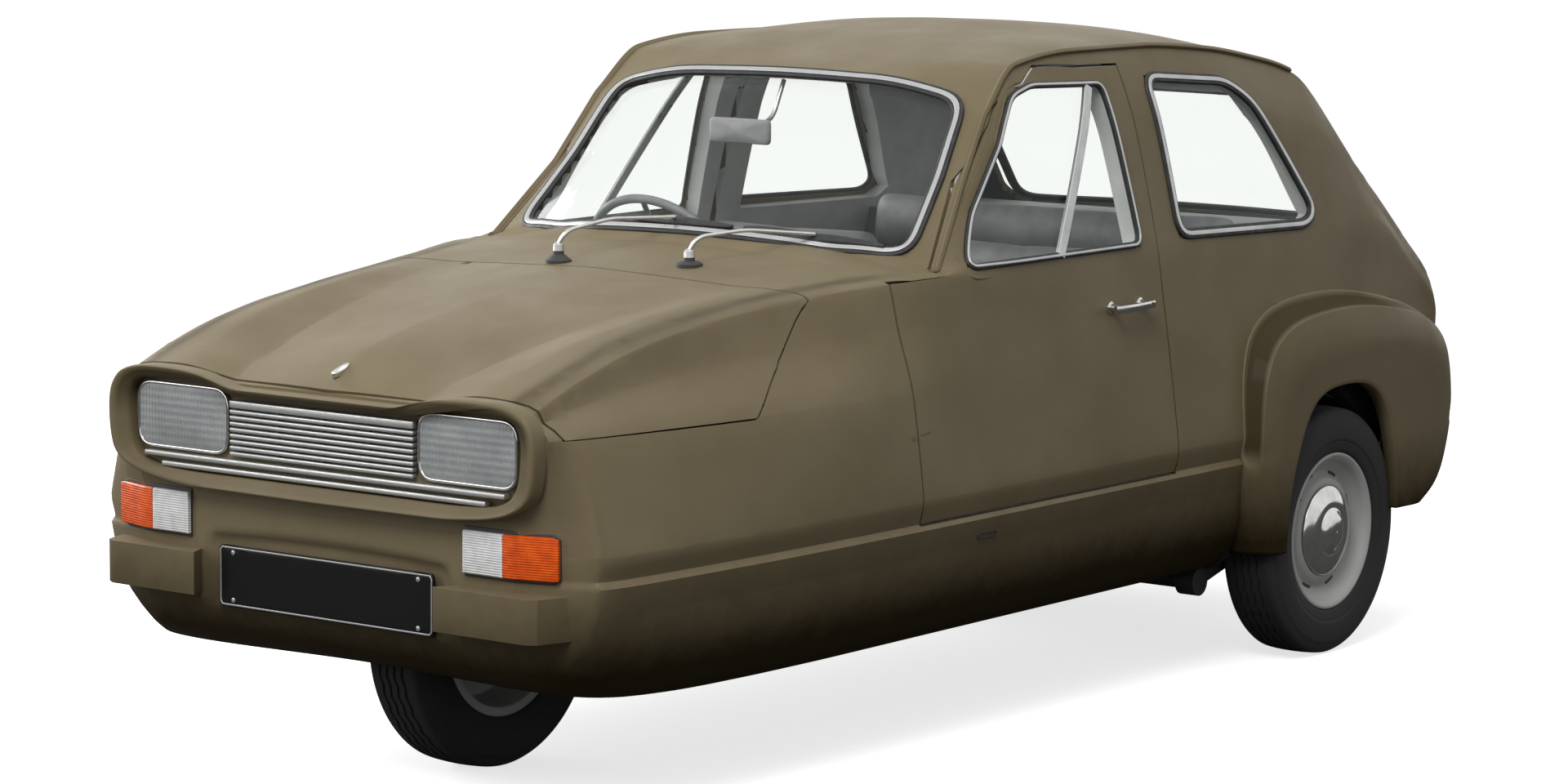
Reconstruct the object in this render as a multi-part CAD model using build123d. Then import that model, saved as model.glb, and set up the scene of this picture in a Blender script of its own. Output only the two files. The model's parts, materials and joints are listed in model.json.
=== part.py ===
"""Three wheeled saloon car: moulded body on three wheels, rear engine, right-hand drive.

Frame: +X ahead, +Y to the car's left, +Z up, in millimetres. The origin is on the ground
at the middle of the overall length and width. Distances along the car are given ahead of
an axle: rear(d) counts from the rear axle and front(d) from the front axle.
"""

from build123d import *
import os
from collections import namedtuple
from math import atan2, cos, degrees, hypot, radians, sin

os.makedirs("parts", exist_ok=True)

# ---------------------------------------------------------------- driving dimensions
wheelbase = 2007.0
front_overhang = 474.0       # front axle to the face of the bumper blocks
rear_overhang = 594.0        # rear axle to the face of the rear blocks
tyre_radius = 266.0
tyre_width = 134.0
rim_radius = 168.0           # outer edge of the rim flange

half_width = 650.0           # body side at its widest, above the sill crease
wing_bulge = 41.0            # how far the rear wings stand out from the side
tyre_inset = 16.0            # from a wing's face in to the tyre
floor_z = 220.0              # underside of the body tub
crease_z = 447.0             # ledge that runs along the sill
widest_z = 500.0
mid_z = 705.0                # height of the bonnet's side joint
belt_z = 915.0               # foot of the side windows
gutter_z = 1314.0            # roof edge over the doors
roof_z = 1352.0              # crown of the roof

cabin_wall = 40.0            # whole thickness of a door or quarter panel
nose_wall = 24.0
top_wall = 22.0              # roof and bonnet, measured upright
floor_wall = 26.0
cap_wall = 30.0              # flat ends of the nose and tail
glass_inset = 4.0
glass_thickness = 6.0
seat_gap = 0.3               # between pieces that bear on each other
shut_gap = 5.5               # round doors and lids
bore_play = 0.06             # radial play of a turning fit
hinge_standoff = 10.0        # from the widest part of the side out to the door's hinge line
hinge_radius = 7.0
hinge_pin = 4.0
hinge_half = 12.0            # half the length of a hinge's middle barrel

laid_out_wheelbase = 2007.0  # wheelbase at which the distances below are laid out
wheel_zone = 360.0           # kept as it is ahead of the rear axle, whatever the wheelbase
nose_zone = 570.0            # kept as it is behind the front axle

# ---------------------------------------------------------------- places
arch_half_width = half_width + wing_bulge
track = 2 * (arch_half_width - tyre_inset) - tyre_width   # between the rear wheels' centre planes
belt_half = half_width - 61      # half-widths of the cabin: foot of the windows, halfway up, gutter
upper_half = half_width - 125
edge_half = half_width - 187
nose_half = half_width - 130     # half-width of the flat front
door_axis_y = half_width + hinge_standoff
rear_axle_x = (rear_overhang - front_overhang - wheelbase) / 2
front_axle_x = rear_axle_x + wheelbase
axle_z = tyre_radius


cabin_stretch = ((wheelbase - wheel_zone - nose_zone)
                 / (laid_out_wheelbase - wheel_zone - nose_zone))


def rear(d):
    """Place along the car, counted ahead of the rear axle; the cabin stretches with the wheelbase."""
    if d <= wheel_zone:
        return rear_axle_x + d
    if d >= laid_out_wheelbase - nose_zone:
        return front_axle_x + (d - laid_out_wheelbase)
    return rear_axle_x + wheel_zone + (d - wheel_zone) * cabin_stretch


def front(d):
    """Place along the car, counted ahead of the front axle."""
    return rear(laid_out_wheelbase + d)


nose_x = front(433)          # flat front of the tub, behind the lamps
tail_x = rear(-572)
seam_x = front(-195)         # upright joint between nose and cabin mouldings
cowl_x = front(-307)         # rear edge of the bonnet
door_front_x = front(-512)
door_rear_x = rear(602)
door_axis_x = door_front_x - 1
bonnet_axis_x = cowl_x - 3
bonnet_axis_z = belt_z + 8
lid_axis_x = rear(-494)
lid_axis_z = belt_z - 62
quarter_x = rear(560)        # joint between the cabin and tail mouldings

# ---------------------------------------------------------------- body sections
# Half sections from nose to tail. The side points are counted in from the body's widest line:
# bottom, corner of the floor; side, at widest_z; mid, at mid_z; belt, foot of the windows or
# shoulder of the wing; upper, halfway up the pillar; edge, roof gutter or outer crown of the
# wing. The next two are counted out from the middle: crown, bulge of the roof or wing, and
# inner, valley beside the centre. The heights go from the ground: bottom, mid, belt, upper,
# edge, crown, inner and centre.
Section = namedtuple("Section", "x bottom_y side_y mid_y belt_y upper_y edge_y crown_y inner_y "
                     "bottom_z mid_z belt_z upper_z edge_z crown_z inner_z centre_z wall")
B = belt_z
G = gutter_z
R = roof_z
M = mid_z
F = floor_z
NW = nose_wall
CW = cabin_wall


def section(x, insets, crown_y, inner_y, heights, wall):
    """One half section from its side points' insets, its top points' places and its heights."""
    return Section(x, *[half_width - inset for inset in insets], crown_y, inner_y, *heights, wall)


sections = [
    section(nose_x, (250, 210, 130, 164, 180, 216), 350, 225,
            (F + 125, M, 750, 758, 764, 766, 752, 776), NW),
    section(front(408), (210, 120, 119, 163, 180, 214), 355, 235,
            (F + 80, M, 760, 768, 774, 776, 762, 790), NW),
    section(front(378), (180, 52, 109, 162, 180, 212), 360, 240,
            (F + 45, M, 772, 780, 785, 788, 775, 800), NW),
    section(front(323), (150, 38, 98, 161, 179, 210), 370, 245,
            (F + 20, M, 792, 799, 803, 805, 787, 817), NW),
    section(front(179), (120, 25, 77, 161, 179, 209), 385, 270,
            (F + 5, M, 832, 840, 845, 849, 826, 850), NW),
    section(front(-2), (105, 14, 56, 158, 176, 206), 400, 300,
            (F, M, 862, 869, 874, 879, 863, 880), NW),
    section(front(-165), (95, 7, 42, 150, 168, 200), 410, 330,
            (F, M, 880, 888, 893, 896, 889, 903), NW),
    section(front(-367), (90, 2, 31, 120, 140, 180), 420, 350,
            (F, M, B - 18, B - 11, B - 8, B - 6, B - 4, B + 7), NW),
    section(rear(1440), (90, 0, 28, 75, 98, 140), 400, 250,
            (F, M, B - 5, B - 1, B + 3, B + 13, B + 23, B + 31), CW),
    section(rear(1375), (90, 0, 28, 66, 84, 107), 300, 150,
            (F, M, B - 3, B, B + 1, B + 43, B + 78, B + 89), CW),
    section(rear(1330), (90, 0, 28, 62, 76, 97), 300, 150,
            (F, M, B - 1, B + 1, B + 3, B + 87, B + 119, B + 130), CW),
    section(rear(1190), (90, 0, 28, 61, 98, 143), 300, 150,
            (F, M, B, B + 66, B + 148, B + 224, B + 248, B + 255), CW),
    section(rear(1080), (90, 0, 28, 61, 109, 164), 300, 150,
            (F, M, B, G - 208, G - 113, G - 62, G - 51, G - 47), CW),
    section(rear(960), (90, 0, 28, 61, 123, 178), 300, 150,
            (F, M, B, G - 146, G - 22, G - 12, G - 11, G - 11), CW),
    section(rear(750), (90, 0, 28, 61, 125, 184), 300, 150,
            (F, M, B, G - 141, G - 2, R - 22, R - 16, R - 15), CW),
    section(rear(490), (90, 0, 28, 61, 125, 187), 300, 150,
            (F, M, B, G - 141, G - 1, R - 11, R - 2, R), CW),
    section(rear(250), (90, 0, 28, 61, 123, 180), 300, 150,
            (F, M, B, G - 143, G - 15, R - 25, R - 14, R - 11), CW),
    section(rear(80), (90, 0, 28, 62, 120, 178), 300, 150,
            (F, M, B, G - 150, G - 38, R - 48, R - 39, R - 36), CW),
    section(rear(-110), (90, 0, 30, 64, 115, 170), 300, 150,
            (F + 10, M, B, G - 190, G - 82, G - 74, G - 70, G - 69), CW),
    section(rear(-298), (95, 6, 40, 68, 94, 120), 300, 150,
            (F + 40, M, B - 5, B + 60, B + 113, B + 122, B + 127, B + 129), CW),
    section(rear(-468), (105, 14, 46, 60, 72, 88), 300, 150,
            (F + 70, M - 40, B - 125, B - 92, B - 58, B - 48, B - 43, B - 42), CW),
    section(rear(-545), (120, 26, 52, 54, 62, 72), 300, 150,
            (F + 95, M - 70, B - 190, B - 165, B - 143, B - 133, B - 128, B - 127), CW),
    section(tail_x, (135, 48, 62, 62, 70, 80), 300, 150,
            (F + 125, M - 90, B - 222, B - 198, B - 180, B - 171, B - 167, B - 166), CW),
]


def mirrored_loft(rows):
    """Straight-sided loft through half sections, each [(y, z), ...] from floor to top."""
    wires = []
    for x, half in rows:
        other = [(-y, z) for y, z in reversed(half) if y > 0]
        wires.append(Wire.make_polygon([Vector(x, y, z) for y, z in half + other], close=True))
    return Solid.make_loft(wires, ruled=True)


def flank(s, y_in=0.0, z_in=0.0):
    """Point of the side between mid and belt: on a straight line by the doors, waisted at the nose."""
    ahead = min(max((s.x - rear(1375)) / (front(323) - rear(1375)), 0), 1)
    waist = 0.55 + 0.27 * ahead
    y = s.mid_y + waist * (s.belt_y - s.mid_y)
    return (y - y_in, s.mid_z + 0.55 * (s.belt_z - s.mid_z) - z_in)


def outer_half(s):
    """Outer half section, with the ledge and the tuck above it along the sill."""
    return [
        (0, s.bottom_z),
        (s.bottom_y, s.bottom_z),
        ((s.bottom_y + 2 * s.side_y) / 3, s.bottom_z + 0.36 * (crease_z - s.bottom_z)),
        (s.side_y - 12, crease_z - 50),
        (s.side_y, crease_z),
        (s.side_y - 9, crease_z + 12),
        (s.side_y, widest_z),
        (s.mid_y, s.mid_z),
        flank(s),
        (s.belt_y, s.belt_z),
        (s.upper_y, s.upper_z),
        (s.edge_y, s.edge_z),
        (s.crown_y, s.crown_z),
        (s.inner_y, s.inner_z),
        (0, s.centre_z),
    ]


def inset_half(s, side, top, bottom):
    """Half section inside the outer one, by a side wall, a top wall and a floor."""
    low = s.bottom_z + bottom
    return [
        (0, low),
        (s.bottom_y - side * 0.5, low),
        ((s.bottom_y + 2 * s.side_y) / 3 - side, max(low + 4, s.bottom_z + 0.36 * (crease_z - s.bottom_z))),
        (s.side_y - side, widest_z),
        (s.mid_y - side, s.mid_z),
        flank(s, side, 0.2 * top),
        (s.belt_y - side, s.belt_z - 0.3 * top),
        (s.upper_y - side, s.upper_z - 0.6 * top),
        (s.edge_y - side, s.edge_z - top),
        (s.crown_y - side / 2, s.crown_z - top),
        (s.inner_y - side / 3, s.inner_z - top),
        (0, s.centre_z - top),
    ]


def skin(depth):
    """The body's outline brought in by a small even depth, for glass."""
    return mirrored_loft([(s.x, inset_half(s, depth, depth * 1.6, depth)) for s in sections])


def hollow(extra):
    """The space inside the walls, made smaller by extra."""
    rows = []
    for s in sections[1:-1]:
        x = min(max(s.x, tail_x + cap_wall + extra), nose_x - cap_wall - extra)
        rows.append((x, inset_half(s, s.wall + extra, top_wall + extra, floor_wall + extra)))
    return mirrored_loft(rows)


# ---------------------------------------------------------------- small helpers
def side_prism(points, y0, y1, corner=0.0):
    """Prism across the car from an (x, z) outline, between two planes of constant y."""
    face = Face(Wire.make_polygon([Vector(x, 0, z) for x, z in points], close=True))
    if corner:
        face = face.fillet_2d(corner, face.vertices())
    solid = Solid.extrude(face, Vector(0, y1 - y0, 0))
    return solid.moved(Location((0, y0, 0)))


def slanted_prism(points, origin, along, depth, corner=0.0, across=1):
    """Prism from (across, up the slope) points on a plane square to the XZ plane."""
    plane = Plane(origin=origin, x_dir=(0, across, 0), z_dir=along)
    corners = [plane.from_local_coords(Vector(a, b, 0)) for a, b in points]
    face = Face(Wire.make_polygon(corners, close=True))
    if corner:
        face = face.fillet_2d(corner, face.vertices())
    start = plane.z_dir * (-depth / 2)
    return Solid.extrude(face, plane.z_dir * depth).moved(Location(start))


def grown(points, by):
    """A convex-enough outline moved outwards by a distance, corner by corner."""
    n = len(points)
    nexts = points[1:] + points[:1]
    area = sum(x * qz - qx * z for (x, z), (qx, qz) in zip(points, nexts))
    turn = 1 if area > 0 else -1
    out = []
    for i in range(n):
        (px, pz), (x, z), (qx, qz) = points[i - 1], points[i], points[(i + 1) % n]
        ax, az = x - px, z - pz
        bx, bz = qx - x, qz - z
        la, lb = hypot(ax, az), hypot(bx, bz)
        n1 = (turn * az / la, -turn * ax / la)
        n2 = (turn * bz / lb, -turn * bx / lb)
        k = 1 + n1[0] * n2[0] + n1[1] * n2[1]
        out.append((x + by * (n1[0] + n2[0]) / k, z + by * (n1[1] + n2[1]) / k))
    return out


def block(x0, x1, y0, y1, z0, z1):
    """Box between six planes."""
    return Solid.make_box(x1 - x0, y1 - y0, z1 - z0).moved(Location((x0, y0, z0)))


def rod(start, end, radius):
    """Round bar between two points."""
    a, b = Vector(*start), Vector(*end)
    return Solid.make_cylinder(radius, (b - a).length, Plane(origin=a, z_dir=b - a))


def mirror_y(shape):
    """The same piece on the other side of the car."""
    return shape.mirror(Plane.XZ)


def one(shape):
    """All solids of a result as one shape to write."""
    solids = shape.solids() if hasattr(shape, "solids") else [s for part in shape for s in part.solids()]
    return solids[0] if len(solids) == 1 else Compound(children=list(solids))


def write(name, shape):
    """One node's file."""
    export_step(one(shape), os.path.join("parts", name + ".step"))


SIDE = 1000.0                # far outside the car on either side
cutter_top = roof_z + 200

def on_side(z):
    """Outer half-width of the cabin's side at a height between the crease and the pillar."""
    if z <= mid_z:
        return half_width - 28.0 * (z - widest_z) / (mid_z - widest_z)
    if z <= belt_z:
        return half_width - 28 - (half_width - 28 - belt_half) * (z - mid_z) / (belt_z - mid_z)
    return belt_half - (belt_half - upper_half) * (z - belt_z) / (G - 141 - belt_z)


# ---------------------------------------------------------------- body mouldings
outer = mirrored_loft([(s.x, outer_half(s)) for s in sections])
cavity = hollow(0)
lining = hollow(seat_gap)
shell = outer - cavity
glass_skin = skin(glass_inset) - skin(glass_inset + glass_thickness)

# Bonnet: top of the nose and the upper part of its sides, hinged at its rear edge.
bonnet_outline = [
    (nose_x + 1, cutter_top), (nose_x + 1, 795), (nose_x - 30, M), (front(-52), M - 3),
    (front(-173), M + 70), (front(-217), M + 107), (cowl_x, B - 35), (cowl_x, cutter_top),
]
bonnet = shell & side_prism(bonnet_outline, -SIDE, SIDE)
shell = shell - side_prism(grown(bonnet_outline, shut_gap), -SIDE, SIDE)

# Doors: hinged ahead of the windscreen pillar, frame and all.
sill_top = crease_z + 13
door_outline = [
    (door_front_x, sill_top), (door_rear_x, sill_top), (door_rear_x, G - 38), (rear(900), G - 33),
    (rear(1050), G - 106), (rear(1345), B - 8), (door_front_x, B - 12),
]
door_window = [
    (rear(662), B + 9), (rear(682), G - 67), (rear(935), G - 60), (rear(1003), G - 78),
    (rear(1272), B + 6),
]


def side_slab(inward):
    """Everything outboard of a leaning plane just inside the left side wall."""
    points = [(half_width - 90, 300), (half_width - 90, mid_z), (belt_half - cabin_wall - 9, belt_z),
              (edge_half - cabin_wall - 15, G), (SIDE, G), (SIDE, 300)]
    start, end = rear(500), door_front_x + 105
    face = Face(Wire.make_polygon([Vector(start, y - inward, z) for y, z in points], close=True))
    return Solid.extrude(face, Vector(end - start, 0, 0))


door_prism = side_prism(door_outline, 300, SIDE) & side_slab(0)
jamb_lean = 16.0             # how far the rear edge is cut back at its inner face


def jamb_wedge():
    """Wedge along the door's rear edge, so that its inner corner swings clear of the pillar."""
    x = door_rear_x
    wires = []
    for y, z in ((half_width, 400), (half_width, widest_z), (half_width - 28, mid_z), (belt_half, belt_z),
                 (upper_half + 1, G - 141), (edge_half + 4, G)):
        points = [(x - 30, y + 30), (x, y + 30), (x, y - 4), (x + jamb_lean, y - 48), (x - 30, y - 48)]
        wires.append(Wire.make_polygon([Vector(px, py, z) for px, py in points], close=True))
    return Solid.make_loft(wires, ruled=True)


door = (shell & door_prism) - side_prism(door_window, 300, SIDE) - jamb_wedge()
door_opening = side_prism(grown(door_outline, shut_gap), 300, SIDE) & side_slab(shut_gap)
shell = shell - door_opening - mirror_y(door_opening)
door_glass = glass_skin & side_prism(grown(door_window, -seat_gap), 300, SIDE)

# Fixed side windows, windscreen and rear window.
quarter_window = [
    (rear(514), B + 18), (rear(516), G - 60), (rear(218), G - 80), (rear(140), G - 122),
    (rear(-37), B + 34), (rear(2), B + 6),
]
for y0, y1 in ((300, SIDE), (-SIDE, -300)):
    shell = shell - side_prism(quarter_window, y0, y1)
quarter_glass = glass_skin & side_prism(grown(quarter_window, -seat_gap), 300, SIDE)

screen_slope = radians(44.0)
screen_foot = (rear(1440), 0, B + 20)
screen_normal = (sin(screen_slope), 0, cos(screen_slope))
screen_foot_half = half_width - 164
screen_top_half = half_width - 216
screen_outline = [
    (-screen_foot_half, 85), (-250, 42), (250, 42), (screen_foot_half, 85), (screen_top_half, 470),
    (250, 486), (-250, 486), (-screen_top_half, 470),
]
shell = shell - slanted_prism(screen_outline, screen_foot, screen_normal, 400, 45)
screen_prism = slanted_prism(grown(screen_outline, -seat_gap), screen_foot, screen_normal, 400, 45)
screen_glass = glass_skin & screen_prism

rear_slope = atan2(G - 69 - (B - 42), 358)
rear_foot = (rear(-468), 0, B - 42)
rear_normal = (-sin(rear_slope), 0, cos(rear_slope))
rear_foot_half = half_width - 195
rear_top_half = half_width - 245
rear_outline = [(-rear_foot_half, 30), (rear_foot_half, 30), (rear_top_half, 425), (-rear_top_half, 425)]
shell = shell - slanted_prism(rear_outline, rear_foot, rear_normal, 240, 50, -1)
rear_glass = glass_skin & slanted_prism(grown(rear_outline, -seat_gap), rear_foot, rear_normal, 240, 50, -1)

# Engine lid: tail panel and the foot of the slope, hinged along its top edge.
lid_top = lid_axis_z - 6
lid_foot = 420.0
lid_half = half_width - 240
lid_face = [(-lid_half, lid_foot), (lid_half, lid_foot), (lid_half, lid_top), (-lid_half, lid_top)]


def tail_prism(points):
    """Prism along the car through the tail, from a (y, z) outline."""
    face = Face(Wire.make_polygon([Vector(tail_x - 60, y, z) for y, z in points], close=True))
    return Solid.extrude(face, Vector(220, 0, 0))


engine_lid = shell & tail_prism(lid_face)
shell = shell - tail_prism(grown(lid_face, shut_gap))

# Rear wings: bulged over the wheels, with the wheel opening cut in the face.
arch_outline = [
    (rear(346), crease_z + 10), (rear(330), 614), (rear(285), 712), (rear(171), 763), (rear(-67), 773),
    (rear(-318), 735), (rear(-440), 695), (rear(-525), 640), (rear(-552), 560), (rear(-545), 440),
    (rear(-505), 340), (rear(-420), 300), (rear(-200), 294), (rear(300), 262),
]
opening_outline = [
    (rear(262), 150), (rear(226), 330), (rear(168), 430), (rear(112), 530), (rear(40), 580),
    (rear(-60), 586), (rear(-150), 520), (rear(-215), 430), (rear(-244), 345), (rear(-225), 150),
]
well_radius = tyre_radius + 22
well_inner_y = track / 2 - tyre_width / 2 - 45
wing_skin = 8.0


def rear_wing():
    """Left wing: a slab on the body side with sloping shoulders."""
    base_y = half_width - 60
    base = Face(Wire.make_polygon([Vector(x, base_y, z) for x, z in arch_outline], close=True))
    slab = Solid.extrude(base, Vector(0, half_width - base_y - 4, 0))
    bend = rear(-380)        # behind this the face draws in round the corner
    face = [(x if x > bend else bend + 0.75 * (x - bend), z) for x, z in grown(arch_outline, -16)]
    lower = Wire.make_polygon([Vector(x, half_width - 4, z) for x, z in arch_outline], close=True)
    upper = Wire.make_polygon([Vector(x, arch_half_width, z) for x, z in face], close=True)
    return slab + Solid.make_loft([lower, upper], ruled=True)


wing = rear_wing()
well_cut = Solid.make_cylinder(
    well_radius, arch_half_width - wing_skin - well_inner_y,
    Plane(origin=(rear(0), well_inner_y, axle_z), z_dir=(0, 1, 0)))
well_cut = well_cut + block(rear(-well_radius), rear(well_radius),
                            well_inner_y, arch_half_width - wing_skin, 0, axle_z)
opening = side_prism(opening_outline, half_width - 80, SIDE)
tail_end = [(rear(-600), 0), (quarter_x, 0), (quarter_x, cutter_top), (rear(-600), cutter_top)]
tail_shell = shell & side_prism(tail_end, -SIDE, SIDE)
for part in (wing, mirror_y(wing)):
    tail_shell = tail_shell + (part - cavity)
for cut in (well_cut, opening):
    tail_shell = tail_shell - cut - mirror_y(cut)

floor_z_top = floor_z + floor_wall

# Front wheel opening in the floor and the box over it.
well_half_y = 225.0
well_half_x = 290.0
well_top = 640.0
well_wall = 5.0
front_well_cut = block(front(-well_half_x), front(well_half_x),
                       -well_half_y, well_half_y, 0, floor_z_top + 60)
shell = shell - front_well_cut
bay_half = well_inner_y + 4
engine_bay = block(rear(-420), rear(95), -bay_half, bay_half, 0, floor_z + 160)
tail_shell = tail_shell - engine_bay
nose_shell = shell & block(seam_x, nose_x + 50, -SIDE, SIDE, 0, cutter_top)
cabin_shell = shell & block(quarter_x, seam_x, -SIDE, SIDE, 0, cutter_top)
w = well_wall
front_wheel_well = block(front(-well_half_x) - w, front(well_half_x) + w, -well_half_y - w, well_half_y + w,
                         floor_z_top + seat_gap, well_top + w)
front_wheel_well -= block(front(-well_half_x), front(well_half_x), -well_half_y, well_half_y, 0, well_top)
front_wheel_well = front_wheel_well & lining

# Rear wheel housings inside the body, open below the axle for the arm and shaft.
housing_wall = 5.0


def rear_drum(y, radius, length):
    """Cylinder about the rear axle, from y outwards to the left."""
    return Solid.make_cylinder(radius, length, Plane(origin=(rear(0), y, axle_z), z_dir=(0, 1, 0)))


housing = rear_drum(well_inner_y - housing_wall, well_radius + housing_wall, 200)
housing -= rear_drum(well_inner_y, well_radius, 300)
housing = housing & lining & block(rear(-400), rear(400), 0, SIDE, axle_z + 60, 900)

# Panels across the car.
bulkhead_x = cowl_x - 32
bulkhead = lining & block(bulkhead_x - 12, bulkhead_x, -SIDE, SIDE, 0, cutter_top)
seat_back_panel = lining & side_prism([
    (rear(122), 0), (rear(110), 0), (rear(110), 300), (rear(10), 880), (rear(22), 880), (rear(122), 300),
], -SIDE, SIDE)
for side in (1, -1):
    clear = rear_drum(well_inner_y - housing_wall - 3, well_radius + housing_wall + 1, 400)
    seat_back_panel -= clear if side > 0 else mirror_y(clear)
shelf_z = 892.0
shelf_half = belt_half - cabin_wall - 57
rear_panel = seat_back_panel + (lining & block(rear(-340), rear(24), -SIDE, SIDE, shelf_z - 12, shelf_z))
rear_panel += block(rear(-300), rear(20), -shelf_half, shelf_half, shelf_z, shelf_z + 3)   # its raised mat

# ---------------------------------------------------------------- hinges
def hinge(x, y, z, across, fixed_foot, moving_foot):
    """Fixed part (pin and two ears) and moving part (barrel) of a hinge along Z, or along Y if across.

    Each foot is a box (x0, x1, y0, y1, z0, z1) counted from the hinge's centre.
    """
    axis = Vector(0, 1, 0) if across else Vector(0, 0, 1)
    centre = Vector(x, y, z)
    ear = 7.0

    def bar(a, b, r):
        return rod(tuple(centre + axis * a), tuple(centre + axis * b), r)

    def foot(box, a, b):
        x0, x1, y0, y1, z0, z1 = box
        if across:
            return block(x + x0, x + x1, y + a, y + b, z + z0, z + z1)
        return block(x + x0, x + x1, y + y0, y + y1, z + a, z + b)

    h = hinge_half
    fixed = bar(-h - ear, h + ear, hinge_pin)
    for a, b in ((-h - ear, -h), (h, h + ear)):
        fixed += bar(a, b, hinge_radius) + foot(fixed_foot, a, b)
    moving = bar(-h + 0.5, h - 0.5, hinge_radius) + foot(moving_foot, -h + 0.5, h - 0.5)
    moving -= bar(-h, h, hinge_pin + bore_play)
    return fixed, moving


door_hinges = []
for z in (505.0, 640.0):
    deep = on_side(z) - door_axis_y - 6
    fixed, moving = hinge(door_axis_x, door_axis_y, z, False,
                          (0, 26, deep, 6, 0, 0), (-34, 0, deep, 5, 0, 0))
    fixed -= block(door_axis_x - 30, door_axis_x + 6.6, 0, door_axis_y - hinge_radius - 0.2, 0, 2000)
    moving -= block(door_axis_x - 4, door_axis_x + 30, 0, door_axis_y - hinge_radius - 0.2, 0, 2000)
    cabin_shell += fixed
    cabin_shell += mirror_y(fixed)
    door += moving
for y in (-260.0, 260.0):
    fixed, moving = hinge(bonnet_axis_x, y, bonnet_axis_z, True,
                          (-26, 0, 0, 0, -24, 4), (0, 26, 0, 0, -24, 4))
    fixed -= block(bonnet_axis_x - 2.5, bonnet_axis_x + 30, -SIDE, SIDE, 0, bonnet_axis_z - hinge_radius)
    moving -= block(bonnet_axis_x - 30, bonnet_axis_x + 3, -SIDE, SIDE, 0, bonnet_axis_z - hinge_radius)
    cabin_shell += fixed
    bonnet += moving
    fixed, moving = hinge(lid_axis_x, y, lid_axis_z, True, (-3, 22, 0, 0, 0.5, 20), (-7, 14, 0, 0, -22, 0))
    moving -= block(lid_axis_x - 30, lid_axis_x + 40, -SIDE, SIDE, lid_axis_z - 6, lid_axis_z + 60) & block(
        lid_axis_x + hinge_radius, lid_axis_x + 40, -SIDE, SIDE, 0, 2000)
    tail_shell += fixed
    engine_lid += moving

# ---------------------------------------------------------------- nose pieces
surround_depth = 35.0
surround_outline = [         # in from the edge of the flat front, and up from the ground
    (315, 741), (280, 751), (240, 762), (180, 768), (86, 768), (35, 755), (11, 728),
    (4, 692), (7, 637), (18, 597), (60, 572), (112, 560), (210, 550),
]
recess_outline = [
    (308, 722), (274, 734), (234, 743), (100, 744), (64, 736), (50, 716), (46, 690),
    (49, 640), (58, 610), (78, 592), (116, 580), (210, 576),
]

surround_half = [(0, 741)] + [(nose_half - inset, z) for inset, z in surround_outline] + [(0, 548)]
opening_half = [(0, 722)] + [(nose_half - inset, z) for inset, z in recess_outline] + [(0, 576)]


def front_face(half, x0, x1):
    """Solid along the car between two planes from a mirrored (y, z) half outline."""
    points = half + [(-y, z) for y, z in reversed(half) if y > 0]
    face = Face(Wire.make_polygon([Vector(x0, y, z) for y, z in points], close=True))
    return Solid.extrude(face, Vector(x1 - x0, 0, 0))


face_x = nose_x + seat_gap
nose_surround = front_face(surround_half, face_x, nose_x + surround_depth)
nose_surround -= front_face(opening_half, face_x - 1, nose_x + surround_depth + 1)


def rounded_panel(x0, x1, y0, y1, z0, z1, r):
    """Flat panel square to the car's length with rounded corners."""
    face = Face(Wire.make_polygon([Vector(x0, y0, z0), Vector(x0, y1, z0), Vector(x0, y1, z1),
                                   Vector(x0, y0, z1)], close=True))
    face = face.fillet_2d(r, face.vertices())
    return Solid.extrude(face, Vector(x1 - x0, 0, 0))


headlamp_y = (nose_half - 288, nose_half - 63)
headlamp_z = (615, 732)
headlamp = rounded_panel(face_x, nose_x + 16, *headlamp_y, *headlamp_z, 34)
bar_count = 9
bar_pitch = 11.0
grille_half = headlamp_y[0] - 10
grille = block(face_x, nose_x + 5, -grille_half - 2, grille_half + 2, 612, 716)
for i in range(bar_count):
    deep = 9.0 if i == bar_count - 1 else 5.0
    z = 614 + i * bar_pitch
    grille += block(nose_x + 4, nose_x + 17, -grille_half, grille_half, z, z + deep)
strips = [block(face_x, nose_x + 20, -y, y, z, z + 10)
          for y, z in ((nose_half - 128, 580), (nose_half - 84, 597))]


def body_grown(g):
    """The body's outline moved out by a small distance."""
    rows = []
    for i, s in enumerate(sections):
        x = s.x + (g if i == 0 else -g if s is sections[-1] else 0)
        half = outer_half(s)
        rows.append((x, [(y + (g if y > 0 else 0), z + (g if k > 7 else -g if k < 3 else 0))
                         for k, (y, z) in enumerate(half)]))
    return mirrored_loft(rows)


proud = body_grown(seat_gap)
lamp_skin = body_grown(12) - proud
block_points = [(nose_x - 95, nose_half - 166), (front(474), nose_half - 230), (front(474), nose_half - 20),
                (front(462), nose_half), (nose_x - 90, nose_half + 36)]
bumper = Solid.extrude(Face(Wire.make_polygon([Vector(x, y, 352) for x, y in block_points], close=True)),
                       Vector(0, 0, 80)) - proud
plate_size = (521.0, 114.0)
plate_z = 389.0
front_plate = block(face_x, nose_x + 7, -plate_size[0] / 2, plate_size[0] / 2, plate_z - plate_size[1] / 2,
                    plate_z + plate_size[1] / 2)
sidelamp = lamp_skin & block(front(360), front(470), nose_half - 188, nose_half - 96, 457, 535)
flasher = lamp_skin & block(front(378), front(470), nose_half - 94, nose_half + 120, 459, 533)
bonnet_catch = block(nose_x - 70, nose_x - 14, -9, 9, 700, 806) - proud
bonnet_catch = bonnet_catch & block(nose_x - 70, nose_x - 14, -9, 9, 780, 806)

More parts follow.
